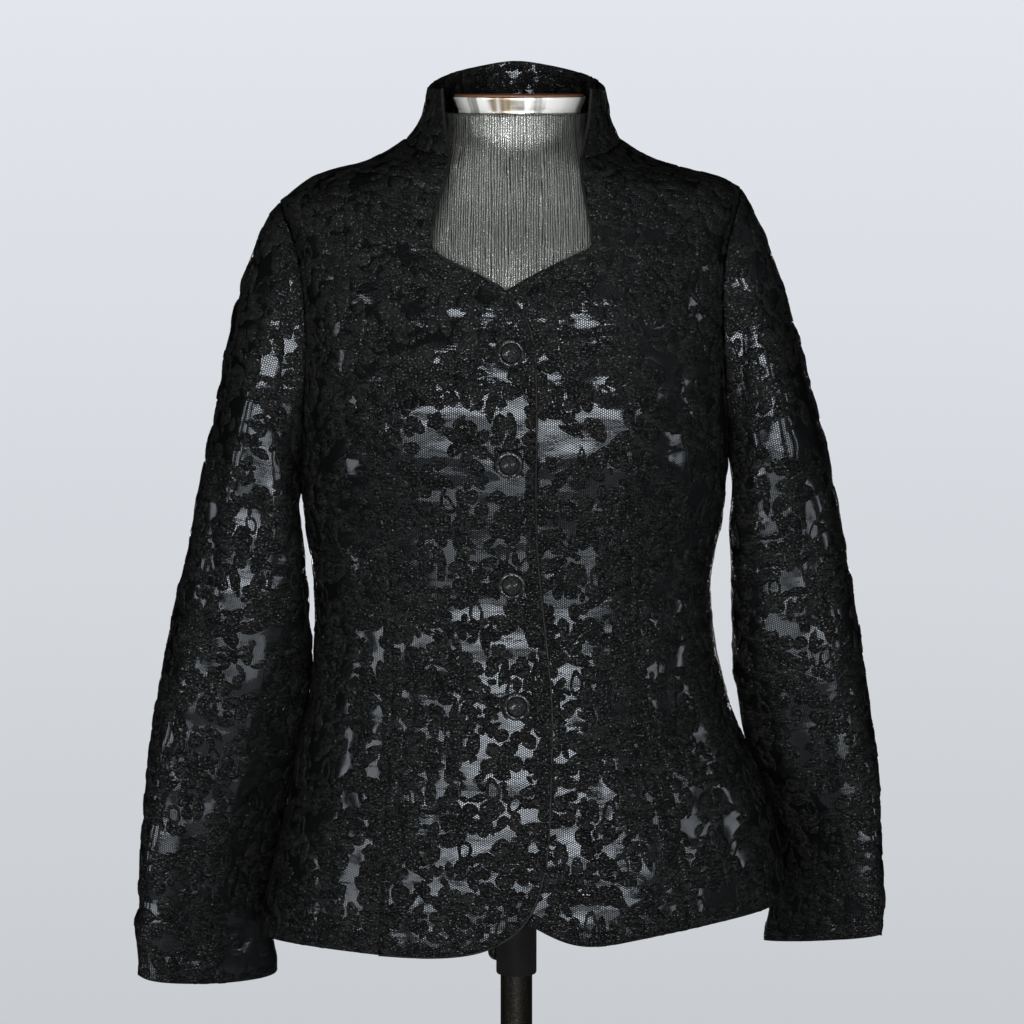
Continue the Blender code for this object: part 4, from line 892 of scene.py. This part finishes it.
def stand_pieces(materials):
    """The ring, cap, socket, pole, base and knob, each in place of its solid."""
    for row in STAND:
        piece = turned(row.node + "_turned", row.profile, row.sides, materials[row.slot])
        if row.node in ("neck_ring", "neck_cap"):
            piece.location.x = RING_X
        if row.node == "clamp_knob":
            turn = math.radians(KNOB_AZIMUTH)
            outward = Vector((math.sin(turn), -math.cos(turn), 0.0))
            aim(piece, outward)
            piece.location = outward * KNOB_START + UP * KNOB_HEIGHT
        put_on_body(piece, row.node)


def button_pieces(material):
    """Covered buttons, each on the axis of its solid."""
    for number in range(1, BUTTONS + 1):
        node = "button_%d" % number
        places = np.array([vert.co for vert in frame["nodes"][node].data.vertices])
        places = np.unique(places.round(6), axis=0)
        middle = (places.min(axis=0) + places.max(axis=0)) / 2.0
        axis = np.linalg.svd(places - places.mean(axis=0))[2][2]
        axis = axis if axis[1] < 0.0 else -axis
        start = ((places - middle) @ axis).min()
        piece = turned("%s_covered" % node, BUTTON, BUTTON_SIDES, material)
        for vert in piece.data.vertices:
            radius, turn = math.hypot(vert.co.x, vert.co.y), math.atan2(vert.co.y, vert.co.x)
            pucker = math.sin(BUTTON_PUCKERS * turn + 2.0 * number) * (radius / BUTTON_RADIUS) ** 3
            vert.co.z += BUTTON_PUCKER * pucker * smooth_step(0.0, PUCKER_START, vert.co.z)
        aim(piece, Vector(axis))
        piece.location = Vector(middle + axis * start)
        put_on_body(piece, node)


def binding(row, cloth, number, material):
    """A narrow rolled edge along the panel's border line that passes nearest to a point."""
    verts = nearest_border(cloth.data, row)
    chosen = verts[::2] if len(verts) % 2 else verts[::2] + [verts[-1]]
    curve = bpy.data.curves.new("binding_%d" % number, "CURVE")
    curve.dimensions = "3D"
    curve.bevel_depth = row.radius
    curve.bevel_resolution = 3
    curve.use_fill_caps = True
    curve.materials.append(material)
    spline = curve.splines.new("POLY")
    spline.points.add(len(chosen) - 1)
    wave = noise(np.array([vert.co for vert in chosen]) / BINDING_WAVE_LENGTH, BINDING_SEED)
    for point, vert, shift in zip(spline.points, chosen, wave):
        point.co = (*(vert.co + vert.normal * (BINDING_WAVE * shift - BINDING_SINK)), 1.0)
    made = add_object("binding_curve", curve)
    piece = add_object("edge_binding_%d" % number, evaluated_mesh(made))
    bpy.data.objects.remove(made)
    piece.data.shade_smooth()
    put_on_body(piece)
    return piece


def form_piece(material):
    """The dress form, smoothed, with its ribs mapped round it."""
    mesh = welded("dress_form")
    crease = mesh.edges.layers.float.new("crease_edge")
    for edge in mesh.edges:
        if edge.calc_face_angle(0.0) > math.radians(FORM_EDGE):
            edge[crease] = FORM_CREASE
    join_to_quads(mesh, FORM_FOLD)
    piece = new_object("form_shell", mesh)
    subdivide(piece, FORM_LEVELS)
    data = piece.data
    layer = data.uv_layers.new(name="cloth")
    values = []
    for face in data.polygons:
        turns = [math.atan2(data.vertices[index].co.x, -data.vertices[index].co.y) for index in face.vertices]
        wraps = max(turns) - min(turns) > math.pi
        for index, turn in zip(face.vertices, turns):
            if wraps and turn < 0.0:
                turn += 2.0 * math.pi
            place = data.vertices[index].co
            values.append((turn * math.hypot(place.x, place.y), place.z))
    layer.uv.foreach_set("vector", np.array(values).ravel())
    data.materials.clear()
    data.materials.append(material)
    put_on_body(piece, "dress_form")


# Materials

def rgb(red, green=None, blue=None):
    """A colour from three numbers, or a grey from one."""
    return (red, red if green is None else green, red if blue is None else blue, 1.0)


class Nodes:
    """Adds nodes to a material or a world and links them."""

    def __init__(self, owner, shader="Principled BSDF"):
        owner.use_nodes = True
        self.owner = owner
        self.tree = owner.node_tree
        self.shader = self.tree.nodes[shader]

    def feed(self, target, inputs):
        for key, value in inputs.items():
            if isinstance(value, bpy.types.NodeSocket):
                self.tree.links.new(value, target.inputs[key])
            else:
                target.inputs[key].default_value = value

    def add(self, kind, inputs=None, **settings):
        """A new node's outputs."""
        made = self.tree.nodes.new(kind)
        for key, value in settings.items():
            setattr(made, key, value)
        self.feed(made, inputs or {})
        return made.outputs

    def flat(self, name="cloth"):
        return self.add("ShaderNodeUVMap", uv_map=name)["UV"]

    def place(self):
        return self.add("ShaderNodeTexCoord")["Object"]

    def parts(self, vector):
        return self.add("ShaderNodeSeparateXYZ", {0: vector})

    def length(self, vector):
        return self.add("ShaderNodeVectorMath", {0: vector}, operation="LENGTH")["Value"]

    def math(self, operation, first, second=0.0):
        return self.add("ShaderNodeMath", {0: first, 1: second}, operation=operation)[0]

    def times(self, first, *others):
        for other in others:
            first = self.math("MULTIPLY", first, other)
        return first

    def minus(self, first, second):
        return self.math("SUBTRACT", first, second)

    def ranged(self, value, low, high, to_low=0.0, to_high=1.0):
        """A value's way from low to high, eased, as a number between two others."""
        inputs = {"Value": value, "From Min": low, "From Max": high, "To Min": to_low, "To Max": to_high}
        return self.add("ShaderNodeMapRange", inputs, interpolation_type="SMOOTHSTEP")[0]

    def mix(self, share, first, second):
        return self.add("ShaderNodeMix", {0: share, 6: first, 7: second}, data_type="RGBA")[2]

    def scaled(self, vector, cells, turn=0.0):
        """A vector with so many cells a metre each way."""
        scale = (*cells, 1.0)[:3] if isinstance(cells, tuple) else (cells,) * 3
        inputs = {"Vector": vector, "Scale": scale, "Rotation": (0.0, 0.0, turn)}
        return self.add("ShaderNodeMapping", inputs)[0]

    def noise(self, vector, cells, detail=2.0, roughness=0.5):
        """Noise with so many cells a metre each way."""
        vector = self.scaled(vector, cells)
        inputs = {"Vector": vector, "Scale": 1.0, "Detail": detail, "Roughness": roughness}
        return self.add("ShaderNodeTexNoise", inputs)["Fac"]

    def bumps(self, *layers):
        """A normal from bumps one over another, each given as its height and its distance."""
        below = {}
        for height, distance in layers:
            inputs = {"Height": height, "Distance": distance, "Strength": 1.0, **below}
            below = {"Normal": self.add("ShaderNodeBump", inputs)["Normal"]}
        return below["Normal"]

    def surface(self, colour, rough, normal, metallic=0.0, specular=0.5):
        """Feed the shader and return the material."""
        self.feed(self.shader, {"Base Color": colour, "Roughness": rough, "Normal": normal,
                                "Metallic": metallic, "Specular IOR Level": specular})
        return self.owner


def new_nodes(name):
    """The nodes of a new material."""
    return Nodes(bpy.data.materials.new(name))


def ribs(nodes, flat):
    """Fine horizontal crinkle ribs of the cloth, about 3.5 mm apart, as a height from 0 to 1."""
    fine = nodes.noise(flat, (60.0, 290.0), 2.0, 0.55)
    return nodes.times(fine, nodes.ranged(nodes.noise(flat, 55.0, 1.0), 0.35, 0.65, 0.35, 1.0))


def ridge_lines(nodes, flat, across, up, width):
    """Thin wandering lines, 1 on a line and 0 beside it, at so many cells a metre across and up."""
    field = nodes.noise(flat, (across, up), 2.0, 0.55)
    return nodes.ranged(nodes.math("ABSOLUTE", nodes.minus(field, 0.5)), width, 0.0)


def net(nodes, flat):
    """A hexagonal net: 1 on its threads and 0 in its holes."""
    waves = []
    for degrees in (0.0, 60.0, 120.0):
        turned_map = nodes.scaled(flat, 2.0 * math.pi / NET_CELL * 1.15, math.radians(degrees))
        waves.append(nodes.math("COSINE", nodes.parts(turned_map)["X"]))
    total = nodes.math("ADD", nodes.math("ADD", waves[0], waves[1]), waves[2])
    return nodes.ranged(total, -0.15, -0.95)


def satin_net_material():
    """Dark satin under a fine net, which shows in the gaps of the lace."""
    nodes = new_nodes("satin_under_net")
    flat = nodes.flat()
    threads = net(nodes, flat)
    strand = nodes.mix(nodes.noise(flat, 1000.0), rgb(0.0010), rgb(0.0080, 0.0085, 0.0080))
    shade = nodes.noise(flat, (22.0, 30.0), 3.0)
    satin = nodes.mix(shade, rgb(0.040, 0.044, 0.048), rgb(0.080, 0.087, 0.095))
    colour = nodes.mix(nodes.ranged(threads, 0.0, 0.55), satin, strand)
    rough = nodes.ranged(threads, 0.0, 0.8, 0.13, 0.80)
    normal = nodes.bumps((ribs(nodes, flat), 0.40 * MM), (threads, 0.12 * MM))
    nodes.feed(nodes.shader, {"Specular Tint": rgb(0.20)})
    return nodes.surface(colour, rough, normal, nodes.ranged(threads, 0.55, 1.0, 1.0, 0.0), 0.06)


def lace_material():
    """Matte charcoal embroidery: fuzzy thread, corded petals and satin glinting through pinholes, with
    painted shade at its rims, painted light and shade on its ribs, crinkles and folds, and painted glint
    specks.
    """
    nodes = new_nodes("lace_embroidery")
    flat = nodes.flat()
    rim = nodes.parts(nodes.flat("rim"))
    mottle = nodes.noise(flat, (260.0, 330.0), 4.0, 0.65)
    fuzz = nodes.noise(flat, (900.0, 1000.0), 2.0, 0.6)
    crinkle = ribs(nodes, flat)
    wave = {"Vector": nodes.flat("thread"), "Scale": 260.0, "Distortion": 2.6, "Detail": 2.0,
            "Detail Scale": 1.5}
    strands = nodes.add("ShaderNodeTexWave", wave, wave_type="BANDS", bands_direction="Y")["Fac"]
    pinholes = nodes.ranged(nodes.noise(flat, (620.0, 760.0), 1.0), 0.58, 0.66)
    painted_glint_specks = nodes.ranged(nodes.noise(flat, (1150.0, 1250.0), 1.0), 0.60, 0.68)
    crinkled = nodes.ranged(nodes.parts(flat)["Y"], CRINKLED_FROM, CRINKLED_TO, 0.35, 1.0)
    # Painted light and shade of the fine crinkle: lighter lines along its ridges and dark lines along its
    # creases, which also raise and sink the bump below.
    painted_ridge_light = nodes.times(ridge_lines(nodes, flat, 130.0, 480.0, 0.050), crinkled)
    painted_crease_shade = nodes.times(ridge_lines(nodes, flat, 62.0, 190.0, 0.095), crinkled)
    # Painted shade of broad folds in the crinkled part, with some patches lighter than the rest.
    painted_fold_shade = nodes.ranged(nodes.noise(flat, (75.0, 130.0)), 0.36, 0.62, 0.30, 1.45)
    share = nodes.times(
        nodes.ranged(mottle, 0.34, 0.66, 0.08, 0.72),
        nodes.ranged(fuzz, 0.36, 0.64, 0.30, 1.75),
        # Painted light and shade of the ribs: the tone is lighter on their crests and darker in their
        # troughs.
        nodes.ranged(crinkle, 0.15, 0.6, 0.70, 1.30),
        nodes.ranged(painted_ridge_light, 0.0, 1.0, 0.80, 2.90),
        nodes.ranged(painted_crease_shade, 0.0, 1.0, 1.20, 0.06),
        nodes.ranged(strands, 0.0, 1.0, 0.80, 1.20),
        nodes.math("ADD", 1.0, nodes.times(nodes.minus(painted_fold_shade, 1.0), crinkled)),
        nodes.ranged(rim["Y"], 0.0, 1.0, 0.72, 1.28))
    # Painted shade: the outer rim of each shape is darkened as though shaded where it meets the ground and
    # its neighbours; on the corded shapes a paler cord lies there instead.
    edge = nodes.ranged(rim["X"], 0.74, 0.95)
    corded = nodes.ranged(rim["Y"], 0.45, 0.60)
    cord = nodes.times(nodes.ranged(corded, 0.0, 1.0, 0.02, 0.50),
                       nodes.ranged(fuzz, 0.36, 0.64, 0.5, 1.5), edge)
    share = nodes.math("ADD", nodes.times(share, nodes.minus(1.0, edge)), cord)
    # Painted glints: pale specks added to the thread's tone, standing in for satin glinting through it.
    share = nodes.math("ADD", share, nodes.times(painted_glint_specks, 1.3))
    tone = nodes.mix(share, rgb(0.0003, 0.0004, 0.0004), rgb(0.0152, 0.0156, 0.0150))
    colour = nodes.mix(pinholes, tone, rgb(0.056, 0.060, 0.066))
    normal = nodes.bumps((crinkle, 1.1 * MM), (nodes.minus(painted_ridge_light, painted_crease_shade), 0.35 * MM),
                         (strands, 0.12 * MM), (mottle, 0.40 * MM))
    return nodes.surface(colour, nodes.ranged(pinholes, 0.0, 1.0, 0.70, 0.24), normal, pinholes, 0.06)


def plain_material(name, cells, dark, light, rough, bump, detail=2.0, roughness=0.5, specular=0.5):
    """A material whose colour, roughness and bump all follow one noise."""
    nodes = new_nodes(name)
    grain = nodes.noise(nodes.place(), cells, detail, roughness)
    return nodes.surface(nodes.mix(grain, dark, light), nodes.ranged(grain, 0.3, 0.7, *rough),
                         nodes.bumps((grain, bump)), specular=specular)


def binding_material():
    """Dark satin folded over the edges."""
    return plain_material("satin_binding", 160.0, rgb(0.003), rgb(0.007, 0.007, 0.008), (0.40, 0.6),
                          0.8 * MM, specular=0.20)


def seam_material():
    """Matte black stitching drawn into a seam."""
    return plain_material("seam_stitches", (500.0, 500.0, 380.0), rgb(0.0010), rgb(0.0070, 0.0068, 0.0064),
                          (0.75, 0.9), 0.6 * MM, specular=0.05)


def button_material():
    """Satin and lace under a net, drawn tight over a button with a rolled rim, and painted shade in the
    groove inside the rim.
    """
    nodes = new_nodes("covered_button_cloth")
    place = nodes.place()
    threads = net(nodes, place)
    away = nodes.length(nodes.scaled(place, (1.0, 1.0, 0.0)))
    needed = nodes.ranged(away, BUTTON_DISC - 0.5 * MM, BUTTON_DISC + 0.5 * MM, 0.42, 0.52)
    lace = nodes.ranged(nodes.minus(nodes.noise(place, (210.0, 210.0, 60.0)), needed), -0.02, 0.03)
    shiny = nodes.minus(1.0, nodes.math("MAXIMUM", threads, lace))
    fuzz = nodes.ranged(nodes.noise(place, 800.0, 3.0, 0.65), 0.36, 0.64)
    thread = nodes.mix(fuzz, rgb(0.0008), rgb(0.022, 0.0225, 0.0215))
    colour = nodes.mix(shiny, thread, rgb(0.080, 0.086, 0.095))
    # Painted shade: a dark ring along the groove between the rim and the lace-covered disc.
    painted_groove_shade = nodes.math("ABSOLUTE", nodes.minus(away, BUTTON_DISC + 0.2 * MM))
    colour = nodes.mix(nodes.ranged(painted_groove_shade, 0.2 * MM, 0.6 * MM), rgb(0.0006), colour)
    rough = nodes.math("MAXIMUM", nodes.ranged(threads, 0.0, 1.0, 0.20, 0.7), nodes.times(lace, 0.7))
    normal = nodes.bumps((lace, 0.30 * MM), (nodes.noise(place, 420.0), 0.6 * MM))
    return nodes.surface(colour, rough, normal, shiny, 0.12)


def form_material():
    """Ribbed silver-grey jersey with a sparkling thread, and painted shade in the grooves between its ribs.
    """
    nodes = new_nodes("ribbed_jersey")
    flat = nodes.flat()
    wander = nodes.noise(flat, (150.0, 14.0), 3.0, 0.6)
    across = nodes.math("ADD", nodes.parts(flat)["X"], nodes.times(wander, 5.0 * MM))
    uneven = nodes.noise(flat, (380.0, 12.0), 1.0)
    rib = nodes.math("SINE", nodes.times(across, 2.0 * math.pi / RIB_PITCH))
    rib = nodes.times(nodes.ranged(rib, -0.95, 0.10), nodes.ranged(uneven, 0.3, 0.7, 0.55, 1.0))
    spark = nodes.noise(flat, (1500.0, 1100.0), 1.0, 0.7)
    patch = nodes.noise(flat, (30.0, 20.0))
    # Painted shade: the grooves between the ribs take a far darker tone than the crests.
    painted_rib_shade = nodes.mix(patch, rgb(0.014, 0.016, 0.014), rgb(0.024, 0.027, 0.024))
    crest = nodes.mix(patch, rgb(0.158, 0.170, 0.156), rgb(0.196, 0.210, 0.194))
    sparkling = nodes.times(nodes.ranged(spark, 0.53, 0.61), nodes.ranged(rib, 0.2, 0.8))
    colour = nodes.mix(sparkling, nodes.mix(rib, painted_rib_shade, crest), rgb(0.62, 0.64, 0.62))
    return nodes.surface(colour, nodes.ranged(sparkling, 0.0, 1.0, 0.25, 0.24),
                         nodes.bumps((rib, 0.14 * MM), (spark, 0.34 * MM)),
                         nodes.ranged(sparkling, 0.0, 1.0, 0.42, 0.90), 1.0)


def chrome_material():
    """Bright plated metal with painted reflections: pale, rougher, barely metallic bands and brownish bands
    round it.
    """
    nodes = new_nodes("plated_metal")
    flat = nodes.flat()
    # Painted reflections: pale bands and brownish bands round the ring stand in for the surroundings mirrored
    # in it.
    painted_pale_reflection = nodes.ranged(nodes.noise(flat, (62.0, 4.0)), 0.40, 0.54)
    painted_brown_reflection = nodes.ranged(nodes.noise(flat, (24.0, 3.0), 1.0), 0.52, 0.60)
    metal = nodes.mix(painted_brown_reflection, rgb(0.62, 0.62, 0.58), rgb(0.36, 0.27, 0.17))
    return nodes.surface(nodes.mix(painted_pale_reflection, metal, rgb(0.93, 0.93, 0.92)),
                         nodes.ranged(painted_pale_reflection, 0.0, 1.0, 0.16, 0.32),
                         nodes.bumps((nodes.noise(flat, (30.0, 2600.0)), 0.01 * MM)),
                         nodes.ranged(painted_pale_reflection, 0.0, 1.0, 0.55, 0.15))


def wood_material():
    """Reddish-brown stained wood."""
    return plain_material("stained_wood", (400.0, 40.0, 400.0), rgb(0.14, 0.045, 0.020),
                          rgb(0.34, 0.15, 0.075), (0.35, 0.5), 0.05 * MM, 4.0, 0.6)


def plastic_material():
    """Satin black moulded plastic."""
    nodes = new_nodes("moulded_black")
    place = nodes.place()
    dust = nodes.noise(place, 90.0, 4.0)
    pebble = nodes.noise(place, 1400.0)
    return nodes.surface(nodes.mix(dust, rgb(0.003), rgb(0.007)), nodes.ranged(dust, 0.3, 0.7, 0.28, 0.42),
                         nodes.bumps((pebble, 0.03 * MM)), specular=0.12)


def pole_material():
    """Black and bronze speckled powder coat."""
    nodes = new_nodes("speckled_coat")
    speck = nodes.noise(nodes.place(), (1100.0, 1100.0, 700.0), 3.0, 0.7)
    colour = nodes.mix(nodes.ranged(speck, 0.52, 0.66), rgb(0.003), rgb(0.040, 0.033, 0.020))
    return nodes.surface(colour, nodes.ranged(speck, 0.4, 0.6, 0.45, 0.30), nodes.bumps((speck, 0.08 * MM)),
                         0.6, 0.2)


def base_material():
    """Cast plate in the pole's colours, with a fine texture."""
    nodes = new_nodes("textured_plate")
    place = nodes.place()
    speck = nodes.noise(place, 650.0, 3.0, 0.65)
    wear = nodes.noise(place, 14.0, 4.0)
    colour = nodes.mix(nodes.ranged(speck, 0.45, 0.65), rgb(0.012), rgb(0.050, 0.044, 0.038))
    return nodes.surface(colour, nodes.ranged(wear, 0.3, 0.7, 0.38, 0.55), nodes.bumps((speck, 0.15 * MM)),
                         0.3)


# Stage

def floor():
    """A pale round floor that fades into the surroundings at its edge."""
    mesh = bmesh.new()
    bmesh.ops.create_circle(mesh, cap_ends=True, segments=FLOOR_SIDES, radius=FLOOR_RADIUS)
    made = new_object("floor", mesh)
    nodes = new_nodes("pale_floor")
    place = nodes.place()
    fade = nodes.ranged(nodes.length(place), FLOOR_FADE, FLOOR_EDGE)
    grain = nodes.noise(place, 3.0, 3.0)
    to_camera = nodes.add("ShaderNodeLightPath")["Is Camera Ray"]
    nodes.feed(nodes.shader, {"Base Color": nodes.mix(grain, rgb(0.56, 0.58, 0.61), rgb(0.60, 0.62, 0.65)),
                              "Roughness": 0.9, "Alpha": nodes.minus(1.0, fade),
                              "Emission Color": rgb(0.70, 0.73, 0.77),
                              "Emission Strength": nodes.times(to_camera, FLOOR_GLOW)})
    made.data.materials.append(nodes.owner)


def world():
    """Pale surroundings to the camera, and dimmer ones to light and reflections."""
    made = bpy.data.worlds.new("studio")
    bpy.context.scene.world = made
    nodes = Nodes(made, "Background")
    height = nodes.parts(nodes.add("ShaderNodeTexCoord")["Generated"])["Z"]
    rise = nodes.add("ShaderNodeMapRange", {"Value": height, "From Min": -0.26, "From Max": 0.02})[0]
    pale = nodes.mix(rise, rgb(0.580, 0.600, 0.630), rgb(0.770, 0.800, 0.850))
    to_camera = nodes.add("ShaderNodeLightPath")["Is Camera Ray"]
    nodes.feed(nodes.shader, {"Color": nodes.mix(to_camera, rgb(0.022, 0.023, 0.025), pale)})


def area_light(row):
    data = bpy.data.lights.new(row.name, "AREA")
    data.shape = "RECTANGLE"
    data.size, data.size_y = row.size
    data.energy = row.power
    made = add_object(row.name, data)
    made.location = row.place
    made.rotation_euler = (Vector(row.aim) - Vector(row.place)).to_track_quat("-Z", "Y").to_euler()
    made.visible_camera = False


def camera():
    data = bpy.data.cameras.new("camera")
    data.lens = CAMERA_LENS
    made = add_object("camera", data)
    made.location = CAMERA_PLACE
    made.rotation_euler = (math.radians(90.0 - CAMERA_TILT), 0.0, 0.0)
    bpy.context.scene.camera = made


# The whole scene

def open_cloth(panel):
    """A panel's cloth as an open sheet with its flat map, and the room above its points."""
    mesh = outer_face(panel)
    mark_corners(mesh)
    if panel.tube:
        mark_tube_seam(mesh)
    cloth = new_object(panel.node + "_cloth", mesh)
    lay_flat(cloth)
    subdivide(cloth, CLOTH_LEVELS)
    return cloth, wrinkle(cloth, panel.node)


def cloth_panels(materials):
    """Each panel's cloth, its lace and its trims."""
    shapes = repeat_shapes()
    for number, panel in enumerate(PANELS):
        cloth, room = open_cloth(panel)
        offset = [number * shift for shift in PANEL_SHIFT]
        laces = [lace_over(panel.node + "_lace", FlatMap(cloth, room), shapes, offset)]
        if panel.node == "collar":
            laces.append(lace_over("collar_inside_lace", FlatMap(cloth, room, SHELL), shapes, offset))
        trims = [binding(row, cloth, index + 1, materials["binding"])
                 for index, row in enumerate(BINDINGS) if row.panel == panel.node]
        laces.extend(crossing_lace(row, cloth, index + 1)
                     for index, row in enumerate(CROSSINGS) if row.panel == panel.node)
        cloth.data.materials.clear()
        cloth.data.materials.append(materials["satin"])
        cloth.data.materials.append(materials["seam"])
        thicken(cloth)
        put_on_body(cloth, panel.node)
        for lace in laces:
            lace.data.materials.append(materials["lace"])
            put_on_body(lace)


def main():
    bpy.context.scene.view_settings.view_transform = "Standard"
    materials = {
        "satin": satin_net_material(), "lace": lace_material(), "binding": binding_material(),
        "seam": seam_material(), "chrome": chrome_material(), "cap_wood": wood_material(),
        "black_plastic": plastic_material(), "pole_finish": pole_material(), "base_finish": base_material(),
    }
    cloth_panels(materials)
    form_piece(form_material())
    button_pieces(button_material())
    stand_pieces(materials)
    floor()
    world()
    for row in LIGHTS:
        area_light(row)
    camera()


main()
